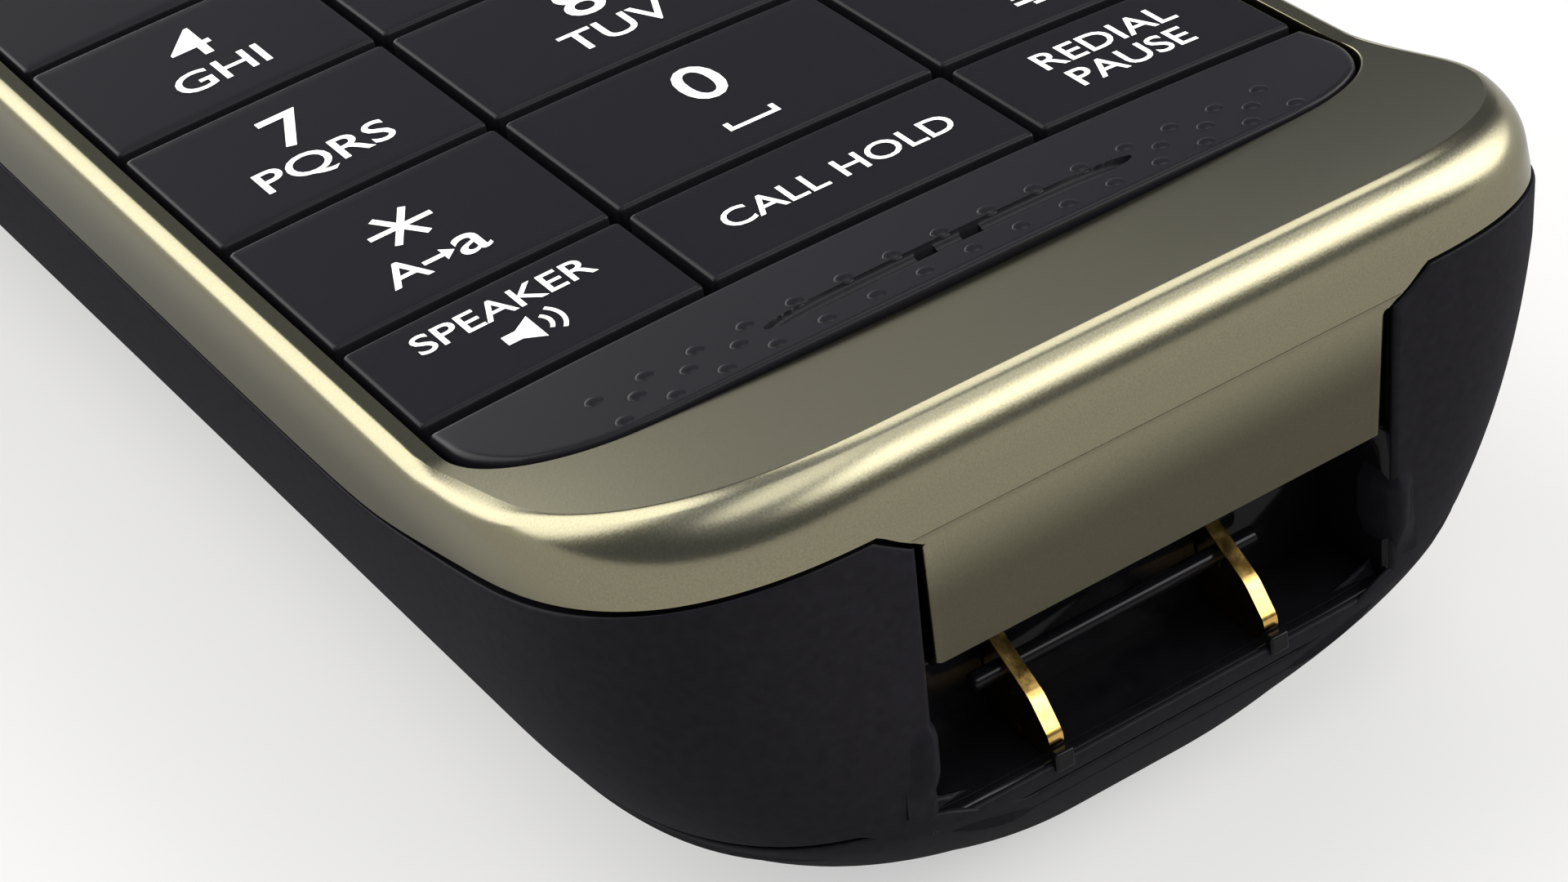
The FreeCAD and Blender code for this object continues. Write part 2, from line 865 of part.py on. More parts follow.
def make_microphone_panel():
    plate = front_opening(panel_gap, cap_under - key_cap, key_height + chin_rise)
    plate = plate.common(box(-keys_half, keys_half, foot, rows_start - row_gap / 2, 0, key_height + reach))
    plate = plate.common(tilted_crown(0)).cut(tilted_crown(-panel_thickness))
    groove_y = rows_start - groove_setback
    groove = box(-groove_length / 2, groove_length / 2,
                 groove_y - groove_width / 2, groove_y + groove_width / 2,
                 key_height - reach, key_height + reach)
    groove = groove.cut(tilted_crown(-groove_depth))
    plate = plate.cut(groove)
    for side in (-1, 1):
        x = side * microphone_hole_pitch / 2
        plate = plate.cut(box(x - microphone_hole / 2, x + microphone_hole / 2,
                              groove_y - microphone_hole / 2, groove_y + microphone_hole / 2,
                              key_height - reach, key_height + reach))
    return plate


def earpiece_slot():
    """Slot with round ends that the sound of the receiver comes out of."""
    radius = earpiece_slot_width / 2
    half = earpiece_slot_length / 2 - radius
    y = earpiece_middle
    low_left = point(-half, y - radius, 0)
    low_right = point(half, y - radius, 0)
    high_right = point(half, y + radius, 0)
    high_left = point(-half, y + radius, 0)
    edges = [
        Part.makeLine(low_left, low_right),
        Part.Arc(low_right, point(half + radius, y, 0), high_right).toShape(),
        Part.makeLine(high_right, high_left),
        Part.Arc(high_left, point(-half - radius, y, 0), low_left).toShape(),
    ]
    return prism(edges, point(0, 0, key_height + reach))


def make_display_window(crown):
    plate = front_opening(panel_gap, key_height - window_thickness, key_height + reach)
    plate = plate.common(box(-keys_half, keys_half, window_start + row_gap / 2, head, 0, key_height + reach))
    plate = plate.common(crown)
    return plate.cut(earpiece_slot())


# Inside

def sheet_plate(half, z0, z1):
    return box(-half, half, rows_start + row_gap, window_start - row_gap, z0, z1)


def dome_places():
    centres = [((x0 + x1) / 2, (y0 + y1) / 2) for x0, x1, y0, y1 in key_places().values()]
    arm = navigation_pad_radius - dome_width / 2
    centres += [(0, navigation_middle), (arm, navigation_middle), (-arm, navigation_middle)]
    centres += [(0, navigation_middle + arm), (0, navigation_middle - arm)]
    return centres


def make_dome_sheet():
    sheet = sheet_plate(board_half - mat_rim / 2, board_top, sheet_top)
    domes = [post(dome_width, x, y, sheet_top, sheet_top + dome_height) for x, y in dome_places()]
    return sheet.fuse(domes).removeSplitter()


def make_keypad_mat():
    mat = sheet_plate(keys_half - mat_side_room, mat_under, mat_top)
    rim_half = board_half - mat_rim / 2
    inner_half = rim_half - mat_rim
    inner_low = rows_start + row_gap + mat_rim
    inner_high = window_start - row_gap - mat_rim
    inside = box(-inner_half, inner_half, inner_low, inner_high, 0, key_height)
    rim = sheet_plate(rim_half, sheet_top, mat_under).cut(inside)
    mat = mat.fuse(rim).removeSplitter()
    for x0, x1, y0, y1 in list(key_places().values()) + [(0, 0, navigation_middle, navigation_middle)]:
        mat = mat.cut(post(plunger_width + 2 * plunger_gap, (x0 + x1) / 2, (y0 + y1) / 2, 0, key_height))
    return mat


def make_main_board():
    half = board_half
    low = foot + board_foot
    spots = [
        (-half + board_corner, low), (half - board_corner, low), (half, low + board_corner),
        (half, board_head - board_corner), (half - board_corner, board_head),
        (-half + board_corner, board_head), (-half, board_head - board_corner), (-half, low + board_corner),
    ]
    outline = closed_lines([point(x, y, board_under) for x, y in spots])
    board = prism(outline, point(0, 0, board_thickness))
    for x, y in screw_places():
        board = board.cut(sided_post(screw_sides, screw_radius + screw_gap, x, y, 0, key_height))
    return board


def make_display_module():
    half = keys_half - display_side_room
    low = window_start + display_margin
    high = earpiece_middle - receiver_radius - display_receiver_gap
    return box(-half, half, low, high, board_top, key_height - window_thickness - window_gap)


def make_earpiece_grille():
    top = key_height - window_thickness
    return box(-grille_length / 2, grille_length / 2, earpiece_middle - grille_width / 2,
               earpiece_middle + grille_width / 2, top - grille_thickness, top)


def make_receiver():
    top = key_height - window_thickness - grille_thickness - window_gap
    return sided_post(speaker_sides, receiver_radius, 0, earpiece_middle, board_top, top)


def make_loudspeaker():
    seat = speaker_floor + speaker_seat
    rim_top = seat + speaker_rim_height
    rim = sided_post(speaker_sides, speaker_radius, 0, speaker_position, seat, rim_top)
    magnet = sided_post(speaker_sides, speaker_magnet_radius, 0, speaker_position,
                        rim_top, rim_top + speaker_magnet_height)
    return rim.fuse(magnet).removeSplitter()


def make_microphone_boot():
    y = rows_start - groove_setback
    boot = post(boot_width, 0, y, board_top, board_top + boot_height)
    return boot.cut(post(2 * (microphone_radius + boot_gap), 0, y, board_top + boot_floor, key_height))


def make_microphone():
    low = board_top + boot_floor
    y = rows_start - groove_setback
    return sided_post(capsule_sides, microphone_radius, 0, y, low, low + microphone_height)


def make_radio_shield():
    return box(-shield_width / 2, shield_width / 2, shield_position - shield_length / 2,
               shield_position + shield_length / 2, board_under - shield_height, board_under)


def make_antenna():
    y = board_head + antenna_gap
    half = antenna_length / 2
    return box(-half, half, y, y + antenna_thickness, board_top - antenna_height, board_top)


def make_board_screws():
    screws = []
    for x, y in screw_places():
        head_part = sided_post(screw_sides, screw_head_radius, x, y, board_top, board_top + screw_head_height)
        shank = sided_post(screw_sides, screw_radius, x, y, board_top - screw_length, board_top)
        screws.append(head_part.fuse(shank).removeSplitter())
    return Part.makeCompound(screws)


# Battery

def make_cell(side, nub_at_head):
    x = side * cell_pitch / 2
    start = bay_low + terminal_room
    along = point(0, 1, 0)
    can_start = start if nub_at_head else start + cell_nub_height
    nub_start = start + cell_length if nub_at_head else start
    can = Part.makeCylinder(cell_radius, cell_length, point(x, can_start, cell_height), along)
    nub = Part.makeCylinder(cell_nub_radius, cell_nub_height, point(x, nub_start, cell_height), along)
    return can.fuse(nub).removeSplitter()


def terminal_plate(x, width, at_head):
    """Sheet metal terminal on the end wall of the bay, with a bowed tongue towards each cell."""
    wall = bay_high - terminal_seat if at_head else bay_low + terminal_seat
    inward = -1 if at_head else 1
    low = cell_height - terminal_height / 2
    high = cell_height + terminal_height / 2
    far = wall + inward * terminal_thickness
    tip = far + inward * terminal_bow
    plate = box(x - width / 2, x + width / 2, min(wall, far), max(wall, far), low, high)
    tongues = []
    for centre in ([x] if width <= terminal_width else [x - cell_pitch / 2, x + cell_pitch / 2]):
        left = centre - terminal_width / 4
        outline = closed_lines([point(left, far, low), point(left, far, high), point(left, tip, cell_height)])
        tongues.append(prism(outline, point(terminal_width / 2, 0, 0)))
    return plate.fuse(tongues).removeSplitter()


def build():
    crown = under_crown(0)
    nodes = {
        "front_frame": make_front_frame(),
        "rear_case": make_rear_case(),
        "battery_cover": make_battery_cover(),
        "charge_contact_left": make_contact(-1),
        "charge_contact_right": make_contact(1),
        "contact_bar": make_contact_bar(),
        "microphone_panel": make_microphone_panel(),
        "display_window": make_display_window(crown),
        "navigation_ring": make_navigation_ring(),
        "navigation_pad": make_navigation_pad(),
        "navigation_surround": make_navigation_surround(crown),
        "select_key": make_select_key(),
        "keypad_mat": make_keypad_mat(),
        "dome_sheet": make_dome_sheet(),
        "main_board": make_main_board(),
        "display_module": make_display_module(),
        "earpiece_grille": make_earpiece_grille(),
        "earpiece_receiver": make_receiver(),
        "loudspeaker": make_loudspeaker(),
        "microphone_boot": make_microphone_boot(),
        "microphone": make_microphone(),
        "radio_shield": make_radio_shield(),
        "antenna": make_antenna(),
        "board_screws": make_board_screws(),
        "indicator_lens": indicator_prism(0),
        "battery_cell_left": make_cell(-1, True),
        "battery_cell_right": make_cell(1, False),
        "battery_terminal_left": terminal_plate(-cell_pitch / 2, terminal_width, False),
        "battery_terminal_right": terminal_plate(cell_pitch / 2, terminal_width, False),
        "battery_bridge": terminal_plate(0, terminal_width + cell_pitch, True),
    }
    for name, place in key_places().items():
        nodes[name] = make_key(*place, crown)
    nodes["dial_key_5"] = nodes["dial_key_5"].fuse(make_nib(key_places()["dial_key_5"])).removeSplitter()
    return nodes


def main():
    os.makedirs("parts", exist_ok=True)
    for name, shape in build().items():
        shape.exportStep("parts/" + name + ".step")


main()
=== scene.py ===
"""Cordless telephone handset: the visual model, laid over the CAD frame. Sizes here are in millimetres."""

import json
from math import pi, radians

import bmesh
import bpy
import numpy as np
from numpy import array, clip, concatenate as join, cos, linspace, sin, sqrt, where
from mathutils import Matrix, Vector


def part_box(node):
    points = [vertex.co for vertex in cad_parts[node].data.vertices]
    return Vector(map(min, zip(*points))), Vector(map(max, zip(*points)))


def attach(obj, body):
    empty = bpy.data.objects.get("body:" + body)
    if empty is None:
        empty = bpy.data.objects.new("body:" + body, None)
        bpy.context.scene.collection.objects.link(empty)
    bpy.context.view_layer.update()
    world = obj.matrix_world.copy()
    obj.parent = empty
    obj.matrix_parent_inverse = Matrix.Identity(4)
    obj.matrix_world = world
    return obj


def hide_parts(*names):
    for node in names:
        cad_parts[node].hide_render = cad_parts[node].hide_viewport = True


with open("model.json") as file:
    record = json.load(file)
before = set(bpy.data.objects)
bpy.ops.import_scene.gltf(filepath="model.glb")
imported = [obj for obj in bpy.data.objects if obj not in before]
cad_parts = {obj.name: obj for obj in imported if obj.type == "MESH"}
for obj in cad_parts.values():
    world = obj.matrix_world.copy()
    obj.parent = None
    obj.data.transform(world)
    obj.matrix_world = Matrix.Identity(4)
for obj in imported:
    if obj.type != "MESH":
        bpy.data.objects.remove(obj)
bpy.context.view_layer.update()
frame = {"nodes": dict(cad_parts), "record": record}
scene = bpy.context.scene

MM = 0.001
FOOT, HEAD, TOP = -81.0, 81.0, 22.5          # ends of the handset and the level of the key tops
LIP, DRAFT = 0.10, 0.078                     # set-back of the foot's face at the key edges, and its lean
FOOT_CORNER, HEAD_CORNER = (11.3, 12.8), (13.0, 14.0)
CORNER_START = 11.55                         # where the foot's corner starts, across
CORNER_GROWTH, SWELL = (0.0872, 0.272), 0.00036    # the case's corner grows with depth, its width along the handset
CHIN_START, CHIN_RISE = 16.4, 3.95           # the chin climbs from here, and by this at its lip
CHIN_SLOPE, CHIN_BEND = 0.22, 0.0034
SEAM_DROP, SEAM_BEND, SEAM_SLOPE = 4.9, 21.3, 0.258
SHOULDER, SHOULDER_SLANT = 12.84, 1.32 / 1.92  # where the flap's shoulder meets the seam, and how it slants
FRAME_HALF, ROLL_START, ROLL_FULL, ROLL_IN = 23.25, 0.38, 0.564, 1.45   # the band's width and its roll to the lip
HULL_POWER, HULL_DEPTH, HULL_HALF = 2.69, 22.35, 23.5
TUCK_START, TUCK_IN, TUCK_POWER = 14.8, 4.9, 1.34  # the case's foot tucks under from this depth
LEAN_START, LEAN_IN = 5.0, 20.0              # and its head end leans in from this one
COVER_EDGE, COVER_SPLIT, COVER_GAP = -12.0, 16.0, 0.15
NOTCH, RIM = 11.2, 14.85                     # half width of the recess mouth and how far below the keys its rim is
BAY_FOOT, BAY_HEAD, BAY_HALF, BAY_LOW, BAY_TOP = -65.5, -15.8, 11.15, 6.5, 13.7
CONTACT_X = 5.35                             # each contact's distance from the middle
KEY_HALF, CROWN = 21.5, 0.58                 # half width of the key field and the rise of its arch
PANEL_HINGE, PANEL_RUN, PANEL_RISE = -62.33, 7.87, 1.2
WINDOW_HALF, WINDOW_MIDDLE, SOUND_SLOT = 28.575, 45.305, 69.0
NAV, RING_TOP, RING_LOW, DISH_DEPTH = -1.84, 23.53, 21.30, 0.35
EDGE_STEPS = array([0, 0.03, 0.08, 0.14, 0.2, 0.26, 0.34])   # close rows beside a rounded edge


# Materials

def linear(code):
    """A colour written as sRGB hex, in linear light."""
    share = array([int(code[i:i + 2], 16) for i in (1, 3, 5)]) / 255
    return (*where(share <= 0.04045, share / 12.92, ((share + 0.055) / 1.055) ** 2.4), 1.0)


def add(tree, kind, inputs=None, **settings):
    """One node; an input given a socket is linked, any other input is set as a value."""
    made = tree.nodes.new(kind)
    for name, value in settings.items():
        setattr(made, name, value)
    for name, value in (inputs or {}).items():
        if isinstance(value, bpy.types.NodeSocket):
            tree.links.new(value, made.inputs[name])
        else:
            made.inputs[name].default_value = value
    return made


def finish(name, dark, light, rough, grain_mm, bump=0.0, bump_mm=None, rough_spread=0.06, **shader):
    """A finish whose colour and gloss wander a little between two tones, with a grain of a real size."""
    made = bpy.data.materials.new(name)
    made.use_nodes = True
    tree = made.node_tree
    shade = tree.nodes["Principled BSDF"]
    place = add(tree, "ShaderNodeTexCoord").outputs["Object"]
    grain = add(tree, "ShaderNodeTexNoise", {"Vector": place, "Scale": 1 / (grain_mm * MM), "Detail": 3.0,
                                             "Roughness": 0.6})
    tone = add(tree, "ShaderNodeMapRange", {"Value": grain.outputs["Fac"], "From Min": 0.3, "From Max": 0.7})
    mix = add(tree, "ShaderNodeMix", {"Factor": tone.outputs["Result"]}, data_type="RGBA")
    mix.inputs[6].default_value, mix.inputs[7].default_value = linear(dark), linear(light)
    tree.links.new(mix.outputs[2], shade.inputs["Base Color"])
    gloss = add(tree, "ShaderNodeMapRange", {"Value": grain.outputs["Fac"], "From Min": 0.25, "From Max": 0.75,
                                             "To Min": rough - rough_spread, "To Max": rough + rough_spread})
    tree.links.new(gloss.outputs["Result"], shade.inputs["Roughness"])
    if bump:
        pits = add(tree, "ShaderNodeTexNoise", {"Vector": place, "Scale": 1 / ((bump_mm or grain_mm) * MM),
                                                "Detail": 2.0})
        lift = add(tree, "ShaderNodeBump", {"Height": pits.outputs["Fac"], "Strength": bump,
                                            "Distance": 0.02 * MM})
        tree.links.new(lift.outputs["Normal"], shade.inputs["Normal"])
    for socket, value in shader.items():
        shade.inputs[socket.replace("_", " ")].default_value = value
    return made


# sprayed champagne coat: soft metal glow with the fine sparkle of its flakes
champagne = finish("champagne_metallic_coat", "#787460", "#827e69", 0.22, 0.09, 0.1, 0.12, rough_spread=0.03,
                   Metallic=1.0, Specular_Tint=linear("#d9d9d6"))
# painted shade: the base colour darkens lower down the walls and flap, by height, standing in for darker reflections
# there
coat_tree = champagne.node_tree
coat_shade = coat_tree.nodes["Principled BSDF"]
coat_place = add(coat_tree, "ShaderNodeSeparateXYZ", {0: add(coat_tree, "ShaderNodeTexCoord").outputs["Object"]})
# painted shade: share of the base colour kept, from 0.38 low on the walls to full near the rail tops
painted_shade_share = add(coat_tree, "ShaderNodeMapRange", {"Value": coat_place.outputs["Z"], "From Min": 18.5 * MM,
                                                   "From Max": 22.4 * MM, "To Min": 0.38, "To Max": 1.0},
                 interpolation_type="SMOOTHSTEP")
painted_shade_base = add(coat_tree, "ShaderNodeVectorMath", {0: coat_shade.inputs["Base Color"].links[0].from_socket,
                                                  "Scale": painted_shade_share.outputs["Result"]}, operation="SCALE")
coat_tree.links.new(painted_shade_base.outputs["Vector"], coat_shade.inputs["Base Color"])
# spark-eroded black plastic: matt and dark, with only a thin film of shine
case_black = finish("black_satin_plastic", "#151417", "#1a191d", 0.5, 0.5, 0.12, 0.25,
                    Specular_IOR_Level=0.0, Coat_Weight=0.07, Coat_Roughness=0.28)
# polished mould faces of the recess: as dark, with sharper lines of light on the edges
recess_black = finish("black_polished_plastic", "#0b0b0d", "#0f0f11", 0.4, 0.8, rough_spread=0.04,
                      Specular_IOR_Level=0.0, Coat_Weight=0.25, Coat_Roughness=0.14)
# lacquered key caps: even darker field with a soft grey reflection
key_black = finish("black_key_lacquer", "#131215", "#151418", 0.32, 0.15, 0.04, 0.12, rough_spread=0.02,
                   Specular_IOR_Level=0.08)
# back-printed acrylic: deep black with a quiet, sharp reflection
window_black = finish("black_gloss_acrylic", "#060608", "#08080a", 0.1, 6.0, rough_spread=0.02,
                      Specular_IOR_Level=0.12)
# plated contact blades: bright yellow metal with faint wipe marks
gold = finish("gold_plate", "#bd9850", "#d4b06c", 0.2, 0.6, 0.1, 0.2, rough_spread=0.08, Metallic=1.0)
# nickel-plated sheet: cool bright metal
nickel = finish("nickel_plate", "#a9aaac", "#c6c6c8", 0.28, 0.8, 0.1, 0.3, Metallic=1.0)
# shrink-wrapped cell: satin printed film
wrap = finish("printed_cell_wrap", "#2f8a72", "#3a9a80", 0.35, 3.0)
# solder mask over glass fibre: deep green with a weave
mask = finish("green_solder_mask", "#12492c", "#1a5c38", 0.35, 0.7, 0.2, 0.4)
# silicone sheet: dead black between the keys
rubber = finish("black_silicone_rubber", "#0a0a0b", "#0f0f10", 0.8, 0.4, 0.2, 0.3, Specular_IOR_Level=0.2)
# clear polyester over white: pale satin sheet
film = finish("polyester_film", "#c9cac4", "#d6d7d1", 0.3, 2.0)
# liquid-crystal glass that is switched off: dark olive grey behind gloss
crystal = finish("liquid_crystal_glass", "#2c322e", "#323934", 0.12, 8.0, rough_spread=0.03,
                 Specular_IOR_Level=0.12)
# tinted lens: warm amber body
amber = finish("amber_lens_plastic", "#c26a18", "#d07a22", 0.15, 2.0)
# filled plastic of the loudspeaker basket: charcoal
basket = finish("charcoal_filled_plastic", "#2c2c2d", "#363637", 0.5, 0.6, 0.2, 0.4)
# screen-printed legends: flat white ink, and the two call colours
white_ink = finish("white_screen_ink", "#e9e9e6", "#f4f4f2", 0.5, 0.2)
green_ink = finish("green_screen_ink", "#2f9a4a", "#38a854", 0.5, 0.2)
red_ink = finish("red_screen_ink", "#c0352e", "#cc3f37", 0.5, 0.2)

finishes = {
    "champagne_frame": champagne, "black_case": case_black, "black_keys": key_black, "black_gloss": window_black,
    "gold_contact": gold, "silver_metal": nickel, "cell_wrap": wrap, "board_green": mask, "black_rubber": rubber,
    "clear_sheet": film, "display_glass": crystal, "amber_lens": amber, "speaker_grey": basket,
}
for part in frame["record"]["subparts"]:
    mesh = frame["nodes"][part["node"]].data
    mesh.materials.clear()
    mesh.materials.append(finishes[part["material_slot"]])


# Surfaces from arrays

def placed(name, data):
    """An object of the data, put in the scene."""
    made = bpy.data.objects.new(name, data)
    scene.collection.objects.link(made)
    return made


def grid_faces(rows, columns, round_rows=False, round_columns=False, start=0):
    """Four-sided faces between neighbouring rows and columns of a grid of points, joined end to end where round."""
    r = np.arange(rows if round_rows else rows - 1)[:, None]
    c = np.arange(columns if round_columns else columns - 1)[None, :]
    nr, nc = (r + 1) % rows, (c + 1) % columns
    faces = np.stack(np.broadcast_arrays(r * columns + c, r * columns + nc, nr * columns + nc, nr * columns + c), -1)
    return faces.reshape(-1, 4) + start


def piece(name, parts, material, body, hides=(), wall=0.0, sharp=32.0, closed=True, away=None):
    """One object from (points, faces) parts in millimetres: points that touch are joined and faces turned outward,
    and an open shell's faces turned away from a point behind them."""
    mesh = bpy.data.meshes.new(name)
    points, faces, start = [], [], 0
    for spots, quads in parts:
        spots = np.asarray(spots, float).reshape(-1, 3)
        points.append(spots)
        faces += (np.asarray(quads) + start).tolist() if isinstance(quads, np.ndarray) else [
            [i + start for i in q] for q in quads]
        start += len(spots)
    mesh.from_pydata((join(points) * MM).tolist(), [], faces)
    work = bmesh.new()
    work.from_mesh(mesh)
    bmesh.ops.remove_doubles(work, verts=work.verts, dist=3e-6)
    bmesh.ops.dissolve_degenerate(work, dist=1e-7, edges=work.edges)
    if closed:
        bmesh.ops.recalc_face_normals(work, faces=work.faces)
    if away:
        behind = Vector(away) * MM
        if sum((f.calc_center_median() - behind).dot(f.normal) * f.calc_area() for f in work.faces) < 0:
            bmesh.ops.reverse_faces(work, faces=work.faces)
    work.to_mesh(mesh)
    work.free()
    mesh.shade_smooth()
    mesh.set_sharp_from_angle(angle=radians(sharp))
    mesh.materials.append(material)
    made = placed(name, mesh)
    if wall:
        thick = made.modifiers.new("wall", "SOLIDIFY")
        thick.thickness, thick.offset = wall * MM, -1.0
    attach(made, body)
    if hides:
        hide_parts(*hides)
    return made


def surface(x, y, z, round_rows=False, round_columns=False):
    """Points and faces of a grid."""
    spots = np.stack(np.broadcast_arrays(x, y, z), -1)
    return spots, grid_faces(*spots.shape[:2], round_rows, round_columns)


def mirrored(part):
    """The same part on the other side of the middle plane, with its faces turned to match."""
    spots, quads = part
    return np.asarray(spots) * (-1, 1, 1), np.asarray(quads)[:, ::-1]


def both(*parts):
    """The parts with their mirror images."""
    return [half for part in parts for half in (part, mirrored(part))]


def quarter(count):
    """Angles through a quarter turn."""
    return linspace(0, pi / 2, count)


def circle(count):
    """Angles round a full turn, as one row."""
    return linspace(0, 2 * pi, count + 1)[None, :-1]


def soft(value, width):
    """The positive part of a value, with its corner rounded over a width."""
    return (value + sqrt(value ** 2 + width ** 2)) / 2


def step(value):
    """Smooth step from 0 to 1."""
    share = clip(value, 0, 1)
    return share * share * (3 - 2 * share)


def round_over(distance, radius):
    """How far a rounded edge has fallen back at a distance from the edge."""
    near = clip(radius - distance, 0, radius)
    return radius - sqrt(radius ** 2 - near ** 2)


def outward(x, y):
    """Outward plan direction of an outline that runs counter-clockwise along the last axis."""
    dx, dy = np.gradient(x, axis=-1), np.gradient(y, axis=-1)
    size = np.hypot(dx, dy)
    return dy / size, -dx / size


def set_back(x, y, back):
    """Rows of an outline moved in from their outside."""
    nx, ny = outward(x, y)
    return x - nx * back, y - ny * back


def crown(x):
    """Height of the keypad's arch above the key edges."""
    return CROWN * (1 - (np.asarray(x) / KEY_HALF) ** 2)


def chin(y):
    """Height of the frame's face above the key edges: level, then a climb that steepens a little to the lip."""
    run = soft(CHIN_START - (y - FOOT), 0.5)
    return CHIN_SLOPE * run + CHIN_BEND * run ** 2


def foot_face(depth):
    """Where the foot's face stands at a depth below the key edges."""
    return FOOT + LIP + DRAFT * depth


def seam(y):
    """Height of the parting line between frame and case: level, then a climb round the foot."""
    return -SEAM_DROP + SEAM_SLOPE * soft(SEAM_BEND - (y - FOOT), 3.0)


def corner_shares(angles, power):
    """Shares along and across a superellipse corner, in polar steps."""
    reach = (cos(angles) ** power + sin(angles) ** power) ** (-1 / power)
    return cos(angles) * reach, sin(angles) * reach


def half_outline(power, angles):
    """Weights that hang the right half of a plan outline on its sizes, from the foot's middle to the head's.
    Across: half width, foot corner, head corner. Along: low, high, foot corner, head corner."""
    foot, head = linspace(0, 1, 40)[:-1], linspace(1, 0, 10)[1:]
    low_side, high_side = linspace(0, 1, 40)[1:] ** 1.7, linspace(0, 1, 20)[1:]
    c, s = corner_shares(angles, power)
    hc, hs = corner_shares(quarter(30)[1:], power)
    def rows(*columns):
        return np.stack(np.broadcast_arrays(*columns), -1).astype(float)
    across = [rows(foot, -foot, 0), rows(1, c - 1, 0), rows(1, 0, 0 * low_side), rows(1, 0, 0 * high_side),
              rows(1, 0, hc - 1), rows(head, 0, -head)]
    along = [rows(1, 0, 0, 0 * foot), rows(1, 0, 1 - s, 0), rows(1 - low_side, 0, 1 - low_side, 0),
             rows(0, high_side, 0, -high_side), rows(0, 1, 0, hs - 1), rows(0, 1, 0, 0 * head)]
    return join(across), join(along)


def laid(weights, half, low, high, foot_x, foot_y, head_x, head_y):
    """Plan of the outline for the given sizes, which may differ from row to row."""
    a, b = weights
    x = half * a[:, 0] + foot_x * a[:, 1] + head_x * a[:, 2]
    y = low * b[:, 0] + high * b[:, 1] + foot_y * b[:, 2] + head_y * b[:, 3]
    return x, y


# Front frame: rails, chin, band and flap

# the corner takes one point where the flap's shoulder meets the seam
shoulder_share = (SHOULDER - CORNER_START) / FOOT_CORNER[0]
shoulder_angle = np.arctan2((1 - shoulder_share ** HULL_POWER) ** (1 / HULL_POWER), shoulder_share)
frame_angles = np.sort(np.append(linspace(pi / 2, 0, 56), shoulder_angle))[::-1]
frame_weights, opening_weights = half_outline(HULL_POWER, frame_angles), half_outline(2.0, frame_angles)


def frame_outline(rise, top):
    """Plan of the frame's outside at a height: a slight flare below the rails, and at the foot an upright band
    that rolls in under the lip."""
    below = clip(-rise, 0, None)
    share = clip(rise / np.maximum(top, 0.05), 0, 1)
    chin_share = clip(top / CHIN_RISE, 0, 1)
    roll = chin_share * round_over(1 - 0.9 * clip(share - ROLL_START, 0, 1) / (1 - ROLL_START), 1.0) / ROLL_FULL
    low = foot_face(below) + ROLL_IN * roll
    half = FRAME_HALF + 0.1 * (below / SEAM_DROP) ** 3 - 0.6 * chin_share * share - 0.7 * roll
    high = HEAD - 0.8 * clip(rise + SEAM_DROP, 0, None) / SEAM_DROP
    return laid(frame_weights, half, low, high, *FOOT_CORNER, *HEAD_CORNER)


def on_rail(y):
    """How far a place has left the foot's corner for the straight rail, from 0 to 1."""
    return step((y - FOOT - 6) / 10)


def front_frame():
    """Ring-shaped solid: up the wall from the seam, round the edge, in over the face to the opening, down and back."""
    count = len(frame_weights[0])
    top = np.zeros((1, count))
    for _ in range(8):
        top = chin(frame_outline(top, top)[1])
    base_x, base_y = frame_outline(np.zeros((1, count)), top)
    nx, ny = outward(*frame_outline(top, top))
    rail = on_rail(base_y)
    width, height = 0.16 + 1.05 * rail, 0.2 + 0.8 * rail
    most = np.radians(90 - 25 * rail)
    low = seam(frame_outline(0 * top - 2, top)[1]) + 0.06
    slant = 0.6 - (SHOULDER - base_x) * SHOULDER_SLANT
    low = where((ny < 0) & (base_x < SHOULDER), np.maximum(slant, -0.3), low)
    share = linspace(0, 1, 24)[:, None]
    wall_rise = low + share * (top - height * sin(most) - low)
    wall_x, wall_y = frame_outline(wall_rise, top)
    turn = linspace(0, 1, 15)[1:, None] * most
    edge_rise = top - height * (sin(most) - sin(turn))
    edge_x, edge_y = frame_outline(edge_rise, top)
    inset = width * (1 - cos(turn))
    edge_x, edge_y = edge_x - nx * inset, edge_y - ny * inset
    open_x, open_y = laid(opening_weights, 21.88, FOOT + 10.8, HEAD - 7, 6.4, 5.6, 8.0, 8.0)
    bow_end = FOOT + 17     # the opening's foot edge bows a little up to here
    bow = 0.4 * clip(open_x / 16, 0, 1) ** 2 * (bow_end - open_y) / 6.2
    open_y = open_y + where(open_y < bow_end, bow, 0)
    span = np.hypot(open_x - edge_x[-1:], open_y - edge_y[-1:])
    left = join([span - 0.03, span - 0.1, linspace(1, 0, 14)[1:-1, None] * (span - 0.45) + 0.3,
                 array([0.3, 0.22, 0.15, 0.09, 0.04, 0.0])[:, None] + 0 * span])
    inward = 1 - left / span
    face_x = edge_x[-1:] + (open_x - edge_x[-1:]) * inward
    face_y = edge_y[-1:] + (open_y - edge_y[-1:]) * inward
    face_rise = chin(face_y) - round_over(left, 0.18)
    x = join([wall_x[:1] - nx * 0.8, wall_x, edge_x, face_x, face_x[-1:]])
    y = join([wall_y[:1] - ny * 0.8, wall_y, edge_y, face_y, face_y[-1:]])
    rise = join([wall_rise[:1], wall_rise, edge_rise, face_rise, face_rise[-1:] - 1.6])
    return surface(x, y, TOP + rise, round_rows=True)


